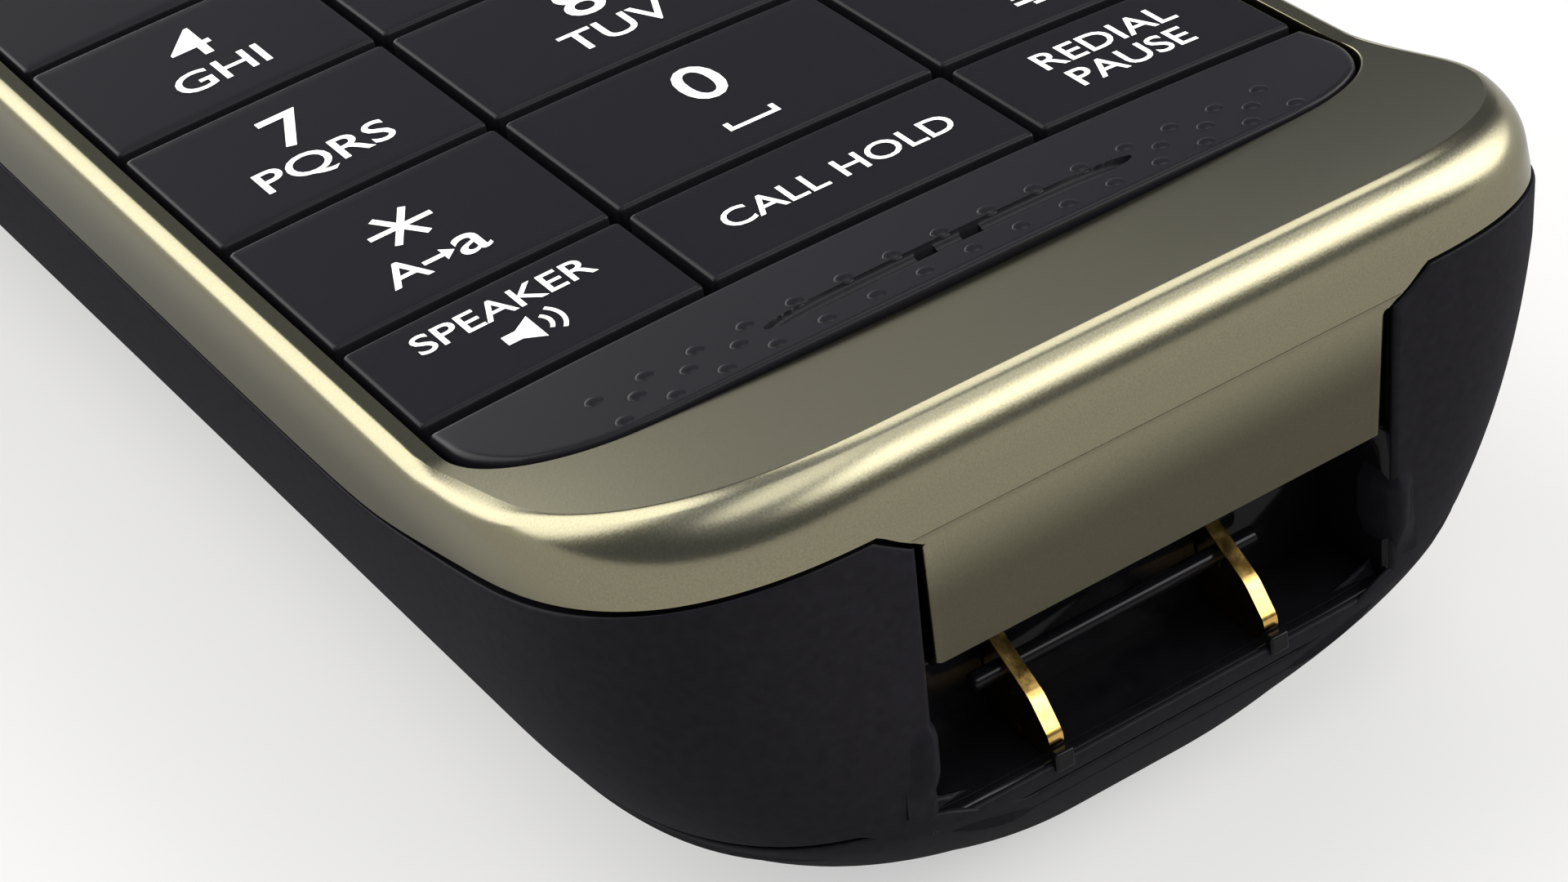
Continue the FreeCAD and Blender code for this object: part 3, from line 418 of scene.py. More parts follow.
def flap():
    """Plate below the band that covers the top of the charging recess, a little behind the ridge."""
    neck, low, wide = -0.72, -7.03, 10.92   # where its upright sides start, its lower edge and its half width
    rise = join([[-0.25, -0.3, -0.36, -0.45, -0.6], linspace(neck, low, 24)])[:, None]
    fall = clip((neck - rise) / (neck - low), 0, 1)
    half = where(rise > neck, wide + (rise - neck) * 1.45, wide - 0.18 * fall)
    share = sin(linspace(-1, 1, 61) * pi / 2)[None, :]
    x = share * half
    to_edge = np.minimum(where(rise < neck, half - np.abs(x), 9), rise - low)
    y = foot_face(-rise) + 0.06 * step((-0.3 - rise) / 0.2) + round_over(to_edge, 0.45)
    closed_x = join([x, x[::-1]])
    closed_y = join([y, y[::-1] + 1.0])
    closed_z = TOP + join([rise, rise[::-1]]) + 0 * closed_x
    spots, faces = surface(closed_x, closed_y, closed_z, round_rows=True)
    rows, columns = closed_x.shape
    ends = []
    for column in (0, columns - 1):
        line = np.arange(rows) * columns + column
        ends.append(np.stack([line[:rows // 2 - 1], line[1:rows // 2], line[::-1][1:rows // 2],
                              line[::-1][:rows // 2 - 1]], -1))
    return spots, join([faces, *ends])


piece("frame_shell", both(front_frame()) + [flap()], champagne, "handset", ["front_frame"])


# Rear case and battery cover

def hull_sizes(depth):
    """Sizes of the case's plan outline at a depth below the key edges."""
    below = clip(depth - 0.3, 0, HULL_DEPTH)
    half = HULL_HALF * (1 - (below / HULL_DEPTH) ** HULL_POWER) ** (1 / HULL_POWER)
    tuck = clip((depth - TUCK_START) / (TOP - TUCK_START), 0, 1)
    low = foot_face(depth) + TUCK_IN * (1 - (1 - tuck ** TUCK_POWER) ** (1 / TUCK_POWER))
    lean = clip((depth - LEAN_START) / (TOP - LEAN_START), 0, 1)
    high = HEAD - LEAN_IN * (1 - sqrt(1 - lean ** 2))
    deep = clip(depth - 3, 0, None)
    foot_x = np.minimum(FOOT_CORNER[0] + CORNER_GROWTH[0] * deep, 0.8 * half)
    head_x = np.minimum(HEAD_CORNER[0], 0.8 * half)
    return half, low, high, foot_x, FOOT_CORNER[1] + CORNER_GROWTH[1] * deep, head_x, HEAD_CORNER[1]


def swell(x, y, depth):
    """The lower case widens slowly away from the foot."""
    return x * (1 + SWELL * clip(y - FOOT - 10, 0, 90) * step((depth - 5) / 9))


def split_depth(x):
    """Depth of the line between case and battery cover: it climbs beside the recess."""
    return COVER_SPLIT - 2.0 * step((x - 11.5) / 3.2)


JOIN = 14.5     # columns keep their place across the foot up to here
notch_steps = NOTCH + array([*EDGE_STEPS[:-1], 0.32, 0.5, 0.8, 1.2, 1.55, 1.77, 1.92, 2.2, 2.6, 3.0])
SLOTS_END = 45.0
slots_y = 30 + 2.8 * np.arange(-2, 3)
slot_marks = array([0.74, 0.70, 0.67, 0.64, 0.61, 0.58, 0.3])
slot_marks = (slots_y[:, None] + join([-slot_marks, [0], slot_marks])).ravel()
along_marks = np.unique(join([slot_marks, linspace(COVER_EDGE, 22, 14), linspace(38, SLOTS_END, 4)]))
side_columns = [(2, linspace(0, 1, 36)[1:] ** 1.6), (3, along_marks[1:]), (4, linspace(0, 1, 10)[1:])]
head_columns = [(5, quarter(28)[1:]), (6, linspace(1, 0, 8)[1:])]


def case_plan(depth, columns):
    """Right half of the case's plan for rows of depths. Columns are (kind, place) pairs: fixed distances across
    the foot, the rest of the foot corner, the side to the cover edge, fixed distances along the loudspeaker's slots,
    the side beyond them, head corner and head."""
    kind, place = columns
    half, low, high, foot_x, foot_y, head_x, head_y = hull_sizes(depth)
    start = half - foot_x
    def foot_y_at(x):
        c = clip((x - start) / foot_x, 0, 1)
        return low + foot_y * (1 - (1 - c ** HULL_POWER) ** (1 / HULL_POWER))
    c = clip((JOIN - start) / foot_x, 0, 0.9999)
    turn = np.arctan2((1 - c ** HULL_POWER) ** (1 / HULL_POWER), c) * (1 - place)
    cc, cs = corner_shares(clip(turn, 0, pi / 2), HULL_POWER)
    hc, hs = corner_shares(clip(place, 0, pi / 2), HULL_POWER)
    x = np.select([kind == 0, kind == 1, kind == 5, kind == 6],
                  [place + 0 * half, start + foot_x * cc, half - head_x * (1 - hc), place * (half - head_x)],
                  half + 0 * place)
    y = np.select([kind == 0, kind == 1, kind == 2, kind == 3, kind == 4, kind == 5],
                  [foot_y_at(place + 0 * half), low + foot_y * (1 - cs),
                   (low + foot_y) * (1 - place) + COVER_EDGE * place, place + 0 * half,
                   SLOTS_END * (1 - place) + (high - head_y) * place, high - head_y * (1 - hs)],
                  high + 0 * place)
    return swell(x, y, depth), y


def column_list(*groups):
    """Columns from (kind, places) groups."""
    return (join([np.full(len(p), k) for k, p in groups]), join([p for _, p in groups]))


def case_edge_back(x, depth, top_depth):
    """How far the case's face falls back beside its edges: the seam above and the recess mouth."""
    mouth = np.hypot(clip(x - NOTCH, 0, None), clip(depth - RIM, 0, None))
    return round_over(np.minimum(mouth, clip(depth - top_depth, 0, None) + 0.06), 0.3)


def rear_case():
    """Outer skin: two cheeks beside the recess that run into the sides, the rim below the recess, and the head end
    down to the back; each row is the case's plan at one depth."""
    outer = column_list((0, notch_steps), (1, linspace(0, 1, 44)), *side_columns, *head_columns)
    plan_x, plan_y = case_plan(np.full((1, 1), 0.0), outer)
    top = -(seam(plan_y) - 0.2)
    chamfer = -(0.6 - (SHOULDER + 0.3 - plan_x) * SHOULDER_SLANT) + 0.1
    top = where((outer[0] == 0) & (plan_x < SHOULDER), np.maximum(chamfer, top), top)
    lower = np.minimum(RIM, split_depth(plan_x) - 0.6)
    fine = EDGE_STEPS[-1]
    share = linspace(0, 1, 34)[1:, None]
    depth = join([top + EDGE_STEPS[:, None], top + fine + share * (lower - top - fine)])
    x, y = case_plan(depth, outer)
    cheeks = surface(*set_back(x, y, case_edge_back(x, depth, top)), TOP - depth)
    ring = column_list((0, join([linspace(0, NOTCH - 0.4, 16), [NOTCH - 0.2]])), (0, notch_steps),
                       (1, linspace(0, 1, 44)), *side_columns, *head_columns)
    ring_x, _ = case_plan(np.full((1, 1), 0.0), ring)
    first = np.minimum(RIM, split_depth(ring_x) - 0.6)
    last = split_depth(ring_x)
    drop = join([EDGE_STEPS, linspace(fine, 1, 8)[1:]])[:, None]
    rest = (drop - fine) / (1 - fine)
    ring_depth = where(drop <= fine, first + drop, first + fine + rest * (last - first - fine))
    x, y = case_plan(ring_depth, ring)
    to_cover = where(ring[0] < 3, last - ring_depth, 9)
    back = case_edge_back(x, ring_depth, top.min() - 9) + round_over(to_cover, 0.2)
    rim = surface(*set_back(x, y, back), TOP - ring_depth)
    far = column_list((3, along_marks), *side_columns[2:], *head_columns)
    slot_ends = array([6.2, 6.35, 6.4, 6.43, 6.46, 6.49, 6.52, 6.55, 6.58, 6.65, 6.9]) / 1.0324
    far_depth = np.unique(join([
        14 + 8.5 * sin(quarter(26)),
        0.3 + HULL_DEPTH * (1 - (slot_ends / HULL_HALF) ** HULL_POWER) ** (1 / HULL_POWER)]))[:, None]
    x, y = case_plan(far_depth, far)
    shrink = array([0.75, 0.5, 0.25, 0.0])[:, None]
    spine = np.minimum(y[-1:], SLOTS_END + 1)
    head_x, head_y = join([x, x[-1:] * shrink]), join([y, spine + (y[-1:] - spine) * shrink])
    slotted = step((0.70 - np.abs(head_y[..., None] - slots_y).min(-1)) / 0.12) * step((6.56 - head_x) / 0.12)
    head_z = TOP - join([far_depth, TOP + 0 * shrink]) + 1.0 * slotted
    head_part = surface(head_x, head_y, head_z)
    wall = surface(x[:, :1] * linspace(1, 0, 12)[None, :], COVER_EDGE, TOP - far_depth)
    return both(cheeks, rim, head_part, wall)


piece("case_shell", rear_case(), case_black, "handset", ["rear_case"], wall=0.9, away=(0, 20, 10))


def battery_cover():
    """The lower half of the back: rows of the case's plan from the split line down, then the flat back, with
    four finger grooves pressed in near its head end."""
    foot = linspace(0, 1, 24)[:-1]
    angles = linspace(pi / 2, 0, 44)
    grooves = COVER_EDGE - 14 - 2.4 * np.arange(4)
    marks = (grooves[:, None] + array([-0.62, -0.5, -0.38, -0.2, 0, 0.2, 0.38, 0.5, 0.62])).ravel()
    first, even = -54, -40      # stations are even from the second place on, and spread before it
    stations = np.unique(join([marks, linspace(first, COVER_EDGE - COVER_GAP, 30)]))
    a, b = len(foot), len(foot) + len(angles)
    c, s = corner_shares(angles, HULL_POWER)
    across = join([foot * 12, 12 + 11.5 * c, np.full(len(stations), 23.0)])
    start = split_depth(across)[None, :] + COVER_GAP
    fall = join([[0, 0.004, 0.01, 0.02, 0.03], sin(linspace(0.06, pi / 2, 30))])[:, None]
    depth = start + fall * (TOP - start)
    half, low, _, foot_x, foot_y, _, _ = hull_sizes(depth)
    x = join([foot * (half - foot_x)[:, :a], (half - foot_x)[:, a:b] + foot_x[:, a:b] * c, half[:, b:]], 1)
    side_start = (low + foot_y)[:, b:]
    spread = side_start + (stations - first) / (even - first) * (even - side_start)
    side_y = where(stations > even, stations, spread)
    y = join([low[:, :a], low[:, a:b] + foot_y[:, a:b] * (1 - s), side_y], 1)
    x = swell(x, y, depth)
    x, y = set_back(x, y, round_over(depth - start, 0.2))
    shrink = array([0.85, 0.7, 0.5, 0.25, 0.0])[:, None]
    spine = np.maximum(y[-1:], y[-1, b])
    x, y = join([x, x[-1:] * shrink]), join([y, spine + (y[-1:] - spine) * shrink])
    z = TOP - join([depth, TOP + 0 * shrink + 0 * depth[-1:]])
    away = np.abs(y[..., None] - grooves).min(-1)
    pressed = 0.4 * step((0.56 - away) / 0.14) * step((7.3 - x) / 0.5)
    return surface(x, y, np.maximum(z, pressed))


piece("cover_shell", both(battery_cover()), case_black, "battery_cover", ["battery_cover"],
      wall=1.2, away=(0, -40, 12))


def plate(x0, x1, y0, y1, z0, z1):
    """A plain block."""
    spots = np.stack(np.meshgrid([x0, x1], [y0, y1], [z0, z1], indexing="ij"), -1).reshape(-1, 3)
    faces = array([[0, 1, 3, 2], [4, 6, 7, 5], [0, 4, 5, 1], [2, 3, 7, 6], [0, 2, 6, 4], [1, 5, 7, 3]])
    return spots, faces


def bevelled(made, size, segments=3):
    """Rounds the edges of a piece."""
    edge = made.modifiers.new("edge", "BEVEL")
    edge.width, edge.segments, edge.limit_method = size * MM, segments, "ANGLE"
    return made


bevelled(piece("cover_tongue", [plate(-9, 9, -17, -8.5, 1.75, 2.55)], case_black, "battery_cover"), 0.2)


def battery_bay():
    """Underside of the case above the cover: a plate with a pocket for the two cells, and sides that lean out to the
    case's wall."""
    inner_x, inner_y = linspace(0, BAY_HALF, 4), linspace(BAY_FOOT, BAY_HEAD, 12)
    y = join([linspace(-76, BAY_FOOT, 8)[:-1], inner_y,
              linspace(BAY_HEAD, COVER_EDGE + 0.3, 3)[1:]])[:, None]
    corner = clip((-58 - y) / 19, 0, 1)
    half = 18.0 - 9 * (1 - sqrt(1 - corner ** 2))
    shelf = BAY_HALF + (half - BAY_HALF) * linspace(0, 1, 6)[1:]
    x = join([inner_x + 0 * half, shelf, half + (0.9, 2.7)], 1)
    spots, faces = surface(x, y, join([np.full(9, BAY_LOW), [8.0, 9.7]]))
    row, column = np.divmod(np.arange(len(faces)), x.shape[1] - 1)
    # faces over the pocket are left out
    pocket = (row >= 7) & (row < 18) & (column < 3)
    rise, across = array([[BAY_LOW, BAY_TOP]]), inner_x[:, None]
    return both((spots, faces[~pocket]), surface(BAY_HALF, inner_y[:, None], rise), surface(across, BAY_FOOT, rise),
                surface(across, BAY_HEAD, rise), surface(across, inner_y[None, :], BAY_TOP))


piece("battery_bay", battery_bay(), case_black, "handset", wall=0.5, sharp=25, away=(0, -40, 40))


# Charging recess, contacts and the bar behind them

def recess():
    """Lining of the recess: roof, floor, side walls and a back wall with a window for each contact."""
    top, low, back = TOP - 7.2, TOP - 14.95, FOOT + 5.9
    xs = array([0, 4.8, 5.9, NOTCH - 0.02])
    zs = array([low, 10.8, 12.2, top])
    def ys(z):
        front = foot_face(TOP - z) + 0.25
        return np.stack([front, front + 0.6, back + 0 * front], -1)
    side = surface(xs[-1], ys(zs), zs[:, None])
    floor = surface(xs[:, None], ys(low)[None, :], low)
    roof = surface(xs[:, None], ys(top)[None, 1:], top)
    spots, faces = surface(xs[:, None], back, zs[None, :])
    return both(side, floor, roof, (spots, np.delete(faces, 4, 0)))


piece("recess_lining", recess(), recess_black, "handset", wall=0.4, sharp=25, away=(0, -60, 11))


def guide(side):
    """Guide at the mouth of the recess. Across, it is a bell towards the cheek and a round towards the mouth; upward,
    it dies out slowly at its foot and steps off at its head. Its back lies inside the cheek."""
    low, high, rows = -13.7, -8.9, 44
    rise = linspace(low, high, rows)[:, None]
    full = step((rise - low) / 2.2) * step((high - rise) / 1.2)
    bell, turn = linspace(1, 0, 14), quarter(14)[1:]
    over = join([1.1 * bell, -0.2 * sin(turn), [-0.2, 1.1]])
    reach = join([0 * bell, sin(turn), [1.0, 0.0]])
    proud = join([(1 + cos(pi * bell)) / 2, cos(turn), [0.0, 0.0]])
    sunk = join([0 * bell, 1.2 * (1 - cos(turn)), [1.6, 1.6]])
    x = 11.5 + over - 0.5 * full * reach
    y = foot_face(-rise) + 0.12 - 0.5 * full * proud + sunk
    spots, faces = surface(side * x, y, TOP + rise, round_columns=True)
    count = len(over)
    return spots, faces.tolist() + [list(range(count)), list(range((rows - 1) * count, rows * count))]


piece("recess_guides", [guide(-1), guide(1)], case_black, "handset")
bevelled(piece("rim_tabs", [plate(at - 0.45, at + 0.45, FOOT + 1.15, FOOT + 1.62, 7.3, 8.2)
                            for at in (-CONTACT_X, CONTACT_X)], recess_black, "handset"), 0.12)
bevelled(piece("flap_backing", [plate(-13.6, 13.6, FOOT + 2.2, FOOT + 2.6, 15.35, 21.6)], case_black, "handset"), 0.1)


def bent(points, radius, count=8):
    """A path through points with its corners turned to arcs; a quadratic curve stands for each arc."""
    points = np.asarray(points, float)
    path = [points[:1]]
    t = linspace(0, 1, count)[:, None]
    for before, corner, after in zip(points[:-2], points[1:-1], points[2:]):
        a = corner + (before - corner) / np.linalg.norm(before - corner) * radius
        b = corner + (after - corner) / np.linalg.norm(after - corner) * radius
        path.append((1 - t) ** 2 * a + 2 * t * (1 - t) * corner + t ** 2 * b)
    path.append(points[-1:])
    return join(path)


def prism(outline, x0, x1):
    """A flat upright outline drawn out across the handset."""
    outline = np.asarray(outline, float)
    n = len(outline)
    spots = join([np.column_stack([np.full(n, x), outline]) for x in (x0, x1)])
    i = np.arange(n)
    sides = np.stack([i, (i + 1) % n, (i + 1) % n + n, i + n], -1).tolist()
    return spots, sides + [i[::-1].tolist(), (i + n).tolist()]


# contact blade: heel, rounded tip, knee, slope to the back wall, tail to the board
blade = join([bent([(FOOT + 2.32, 7.6), (FOOT + 1.72, 8.1), (FOOT + 1.68, 8.65), (FOOT + 2.75, 10.05),
                    (FOOT + 5.8, 12.0)], 0.3),
              [(FOOT + 8.6, 12.0), (FOOT + 8.6, 16.7), (FOOT + 9.1, 16.7), (FOOT + 9.1, 11.0),
               (FOOT + 5.8, 11.0), (FOOT + 5.8, 7.6)]])
for word, at in (("left", -CONTACT_X), ("right", CONTACT_X)):
    bevelled(piece(f"contact_{word}", [prism(blade, at - 0.35, at + 0.35)], gold, "handset",
                   [f"charge_contact_{word}"]), 0.1)


def rod():
    """A round bar with rounded ends, turned about a line across the handset."""
    half, size = 7.1, 0.2       # half length, and the rounding of its ends: half the bar's radius
    turn, end = circle(28), quarter(6)
    x = join([-half + size - size * cos(end), half - size + size * sin(end)])[:, None]
    radius = join([size + size * sin(end), size + size * cos(end)])[:, None]
    radius[0], radius[-1] = 0, 0
    return surface(x + 0 * turn, FOOT + 4.75 + radius * cos(turn), 10.4 + radius * sin(turn),
                   round_columns=True)


piece("contact_rod", [rod()], recess_black, "handset", ["contact_bar"])


# Keys, panel, window and navigation

def ring_path(half_x, half_y, foot_radius, head_radius, steps=9):
    """A rounded rectangle about the origin, counter-clockwise from the lower right corner."""
    spots = []
    for turns, sx, sy, radius in ((-1, 1, -1, foot_radius), (0, 1, 1, head_radius), (1, -1, 1, head_radius),
                                  (2, -1, -1, foot_radius)):
        turn = turns * pi / 2 + quarter(steps)
        spots.append(np.stack([sx * (half_x - radius) + radius * cos(turn),
                               sy * (half_y - radius) + radius * sin(turn)], -1))
    return join(spots)


def sides_filled(path, most=0.9):
    """The path with its straight runs divided so that no step is long."""
    path = join([path, path[:1]])
    reach = join([[0], np.cumsum(np.linalg.norm(np.diff(path, axis=0), axis=1))])
    count = np.maximum(1, np.ceil(np.diff(reach) / most)).astype(int)
    places = join([linspace(a, b, n, endpoint=False) for a, b, n in zip(reach[:-1], reach[1:], count)])
    return np.stack([np.interp(places, reach, path[:, 0]), np.interp(places, reach, path[:, 1])], -1)


def key_cap(x0, x1, y0, y1, corner=0.2, edge=0.22, thick=1.7):
    """A cap under the arch of the keypad: upright sides, a rounded edge and a top that shrinks to its middle."""
    cx, cy, hx, hy = (x0 + x1) / 2, (y0 + y1) / 2, (x1 - x0) / 2, (y1 - y0) / 2
    path = sides_filled(ring_path(hx, hy, corner, corner))
    turn = quarter(7)
    inset = join([[0, 0], edge * (1 - cos(turn))])[:, None]
    drop = join([[thick, 0.6], edge * (1 - sin(turn))])[:, None]
    share_x, share_y = 1 - inset / hx, 1 - inset / hy
    x, y = cx + path[:, 0] * share_x, cy + path[:, 1] * share_y
    inner = array([0.9, 0.75, 0.55, 0.3, 0.0])[:, None]
    x, y = (join([c + 0 * rim[:1], rim, c + (rim[-1:] - c) * inner]) for rim, c in ((x, cx), (y, cy)))
    drop = join([[[thick]], drop, 0 * inner])
    z = TOP + crown(x) - drop
    z[:2] = TOP - thick
    return surface(x, y, z, round_columns=True)


def letter_shapes(words, bold):
    """Flat letters as the font draws them, thickened by a share of their size."""
    curve = bpy.data.curves.new("letters", "FONT")
    curve.body, curve.offset, curve.resolution_u = words, bold, 4
    holder = placed("letters", curve)
    bpy.context.view_layer.update()
    flat = bpy.data.meshes.new_from_object(holder.evaluated_get(bpy.context.evaluated_depsgraph_get()))
    spots = np.zeros(len(flat.vertices) * 3)
    flat.vertices.foreach_get("co", spots)
    faces = [list(face.vertices) for face in flat.polygons]
    bpy.data.objects.remove(holder)
    bpy.data.curves.remove(curve)
    bpy.data.meshes.remove(flat)
    return spots.reshape(-1, 3)[:, :2], faces


CAP_SHARE = float(np.ptp(letter_shapes("H", 0.0)[0][:, 1]))     # cap height for a letter size of 1
BOLD = 0.008


def text_flat(words, cap, x, y, bold=BOLD):
    """Flat letters of a cap height, centred at x on a baseline at y."""
    spots, faces = letter_shapes(words, bold)
    spots = spots * cap / CAP_SHARE
    return spots + (x - (spots[:, 0].min() + spots[:, 0].max()) / 2, y), faces


def shape_flat(*outlines):
    """Flat filled outlines."""
    spots, faces, start = [], [], 0
    for outline in outlines:
        spots.append(np.asarray(outline, float))
        faces.append(list(range(start, start + len(outline))))
        start += len(outline)
    return join(spots), faces


def spun(spots, degrees):
    """Flat points turned about the origin."""
    a = radians(degrees)
    return spots @ array([[cos(a), sin(a)], [-sin(a), cos(a)]])


def bar(x, y, length, width, degrees=0.0):
    """A small upright or turned rectangle about a point."""
    along, across = spun(np.diag([length, width]) / 2, degrees)
    return array([x, y]) + array([-along - across, along - across, along + across, -along + across])


def arc_band(x, y, radius, width, start, end, count=14):
    """A curved band about a point."""
    a = np.radians(linspace(start, end, count))
    ring = np.stack([cos(a), sin(a)], -1)
    return array([x, y]) + join([ring * (radius + width / 2), ring[::-1] * (radius - width / 2)])


def ink(name, flats, material, body, height=None):
    """Printed marks laid on the arch of the keypad, a hair above it."""
    parts = []
    for spots, faces in flats:
        level = TOP + crown(spots[:, 0]) if height is None else np.full(len(spots), height)
        parts.append((np.column_stack([spots, level + 0.02]), faces))
    return piece(name, parts, material, body, closed=False)


columns_x = [(-KEY_HALF, -8.41), (-7.93, 7.93), (8.41, KEY_HALF)]
middles = [-14.95, 0.0, 14.95]
rows_y = {"function": (-62.01, -55.20), "star": (-54.56, -44.64), "seven": (-44.00, -34.08),
          "four": (-33.44, -23.52), "one": (-22.88, -12.96), "soft": (9.28, 16.09)}
layout = [("star", ("dial_key_star", "dial_key_0", "dial_key_hash"), ("*", "0", "#"), ("", "", "")),
          ("seven", ("dial_key_7", "dial_key_8", "dial_key_9"), "789", ("PQRS", "TUV", "WXYZ")),
          ("four", ("dial_key_4", "dial_key_5", "dial_key_6"), "456", ("GHI", "JKL", "MNO")),
          ("one", ("dial_key_1", "dial_key_2", "dial_key_3"), "123", ("", "ABC", "DEF"))]


def make_key(name, x, y, flats, material=white_ink):
    """A key's cap and its printed legend."""
    piece(f"{name}_cap", [key_cap(*x, *y)], key_black, name, [name])
    ink(f"{name}_legend", flats, material, name)


# narrow counters stay open in thinner letters
thin = {"4": 0.003, "MNO": 0.0}
for row, names, digits, letters in layout:
    y0, y1 = rows_y[row]
    for name, x, middle, digit, word in zip(names, columns_x, middles, digits, letters):
        if digit == "*":
            marks = [shape_flat(*[bar(-15.2, y0 + 5.95, 3.0, 0.34, a) for a in (0, 60, 120)]),
                     text_flat("A", 1.85, -16.75, y0 + 1.75), text_flat("a", 2.35, -13.65, y0 + 1.75),
                     shape_flat(bar(-15.4, y0 + 2.6, 1.0, 0.3),
                                [(-14.95, y0 + 3.1), (-14.4, y0 + 2.6), (-14.95, y0 + 2.1)])]
        elif digit == "0":
            marks = [text_flat("0", 3.1, middle, y0 + 4.85), shape_flat(
                bar(0.04, y0 + 1.95, 2.55, 0.26), *[bar(at, y0 + 2.2, 0.26, 0.7) for at in (-1.1, 1.19)])]
        elif digit == "#":
            marks = [text_flat("#", 2.9, middle, y0 + 4.95), shape_flat(
                arc_band(middle, y0 + 2.6, 0.5, 0.9, 0, 180), bar(middle, y0 + 2.15, 2.1, 0.3),
                bar(middle, y0 + 1.75, 0.6, 0.25))]
        else:
            marks = [text_flat(digit, 2.95, middle, y0 + 4.95, thin.get(digit, BOLD))]
            if word:
                marks.append(text_flat(word, 1.9, middle + 0.1, y0 + 2.1, thin.get(word, BOLD)))
        make_key(name, x, (y0, y1), marks)

horn = [(-16.25, -59.85), (-15.6, -59.85), (-14.75, -60.45), (-14.75, -58.55), (-15.6, -59.15), (-16.25, -59.15)]
waves = [arc_band(-15.0, -59.5, radius, 0.2, -40, 40) for radius in (0.85, 1.4)]
legends = [[text_flat("SPEAKER", 1.45, -15.0, -57.85), shape_flat(horn, *waves)],
           [text_flat("CALL HOLD", 1.45, 0.3, -59.4)],
           [text_flat("REDIAL", 1.5, 14.93, -58.2), text_flat("PAUSE", 1.5, 14.8, -60.35)]]
for name, x, marks in zip(("speaker_key", "hold_key", "redial_key"), columns_x, legends):
    make_key(name, x, rows_y["function"], marks)
for i, name in enumerate(("soft_key_left", "soft_key_middle", "soft_key_right")):
    make_key(name, columns_x[i], rows_y["soft"], [shape_flat(bar(middles[i], 12.7, 3.0, 0.4))])


def handset_mark(x, y, turn):
    """A small telephone receiver: a curved grip with an ear and a mouth pad."""
    parts = [arc_band(0, -1.9, 2.3, 0.7, 40, 140), *[bar(s * 1.65, -0.75, 1.1, 0.95, s * -50) for s in (-1, 1)]]
    return shape_flat(*[spun(part, turn) + (x, y) for part in parts])


call_row = (-12.32, 8.64)
make_key("talk_key", (-KEY_HALF, -10.84), call_row, [handset_mark(-16.2, -1.8, 55)], green_ink)
make_key("off_key", (10.84, KEY_HALF), call_row, [handset_mark(16.2, -1.4, 0)], red_ink)


def nib():
    """Raised bar that a finger finds on the five."""
    turn, up = circle(24), quarter(7)[:, None]
    x, y = 0.9 * cos(up) * cos(turn), -31.94 + 0.3 * cos(up) * sin(turn)
    spots, faces = surface(x, y, TOP + crown(x) - 0.05 + 0.33 * sin(up), round_columns=True)
    return spots, faces.tolist() + [list(range(24))]


piece("five_nib", [nib()], key_black, "dial_key_5")


def panel_height(x, y):
    """The keypad's arch tilted up towards the foot."""
    return TOP + crown(x) + PANEL_RISE * (PANEL_HINGE - y) / PANEL_RUN


def microphone_panel():
    """A height field over the panel: tilted arch, rounded edge, a sound groove and two square holes in it."""
    low, high, groove = FOOT + 10.92, -62.65, -67.45
    near = array([0, 0.02, 0.06, 0.12, 0.2, 0.3, 0.4])
    y_marks = np.unique(join([low + near, low + array([0.7, 1.0, 1.4, 1.8, 2.0]),
                              groove + linspace(-0.6, 0.6, 25),
                              linspace(groove + 0.8, high - 0.5, 16), high - near]))[:, None]
    inner = join([linspace(0, 0.55, 4), linspace(0.6, 0.72, 5), linspace(0.85, 1.4, 4),
                  linspace(1.48, 1.6, 5), linspace(1.8, 7, 12), linspace(7.2, 9, 19),
                  linspace(9.4, 12, 5)])
    outer = 1 - (1 - linspace(0, 1, 26)[1:]) ** 1.8
    turn = clip((low + 5.6 - y_marks) / 5.6, 0, 1)
    half = KEY_HALF - 6.4 * (1 - sqrt(1 - turn ** 2)) * 0.97
    x = join([inner + 0 * half, 12 + (half - 12) * outer], 1)
    y = y_marks + 0.4 * clip(x / 16, 0, 1) ** 2 * clip(1 - (y_marks - low) / 2.2, 0, 1)
    slope = np.abs(np.gradient(half[:, 0], y_marks[:, 0]))[:, None]
    edge = np.minimum(np.minimum((half - x) / np.hypot(1, slope), y_marks - low + 0 * x), high - y_marks + 0 * x)
    width = 0.55 * sqrt(clip(1 - (x / 8.9) ** 6, 0, 1)) + 1e-6
    channel = sqrt(clip(1 - ((y - groove) / width) ** 2, 0, 1)) * (x < 8.9)
    hole = step((0.42 - np.abs(y - groove)) / 0.08 + 0.5) * step((0.45 - np.abs(x - 1.1)) / 0.08 + 0.5)
    z = panel_height(x, y) - round_over(edge, 0.3) - 0.42 * channel - 0.7 * hole
    x, y, z = (np.pad(values, ((1, 1), (0, 1)), "edge") for values in (x, y, z))
    inside = np.zeros(z.shape, bool)
    inside[1:-1, :-1] = True
    return surface(x, y, z - where(inside, 0, 1.2))     # a skirt hangs from three edges


piece("panel_shell", both(microphone_panel()), key_black, "handset", ["microphone_panel"],
      wall=0.5, away=(0, -66, 0))


def domes(places, radius, height):
    """Small round bumps: the same low dome at each place, all in one array."""
    turn, up = circle(16), quarter(6)[:, None]
    dome, faces = surface(radius * cos(up) * cos(turn), radius * cos(up) * sin(turn), height * sin(up),
                          round_columns=True)
    places, dome = np.asarray(places, float), dome.reshape(-1, 3)
    base = np.column_stack([places, panel_height(places[:, 0], places[:, 1]) - 0.03])
    spots = (base[:, None, :] + dome).reshape(-1, 3)
    return spots, (faces + np.arange(len(places))[:, None, None] * len(dome)).reshape(-1, 4)


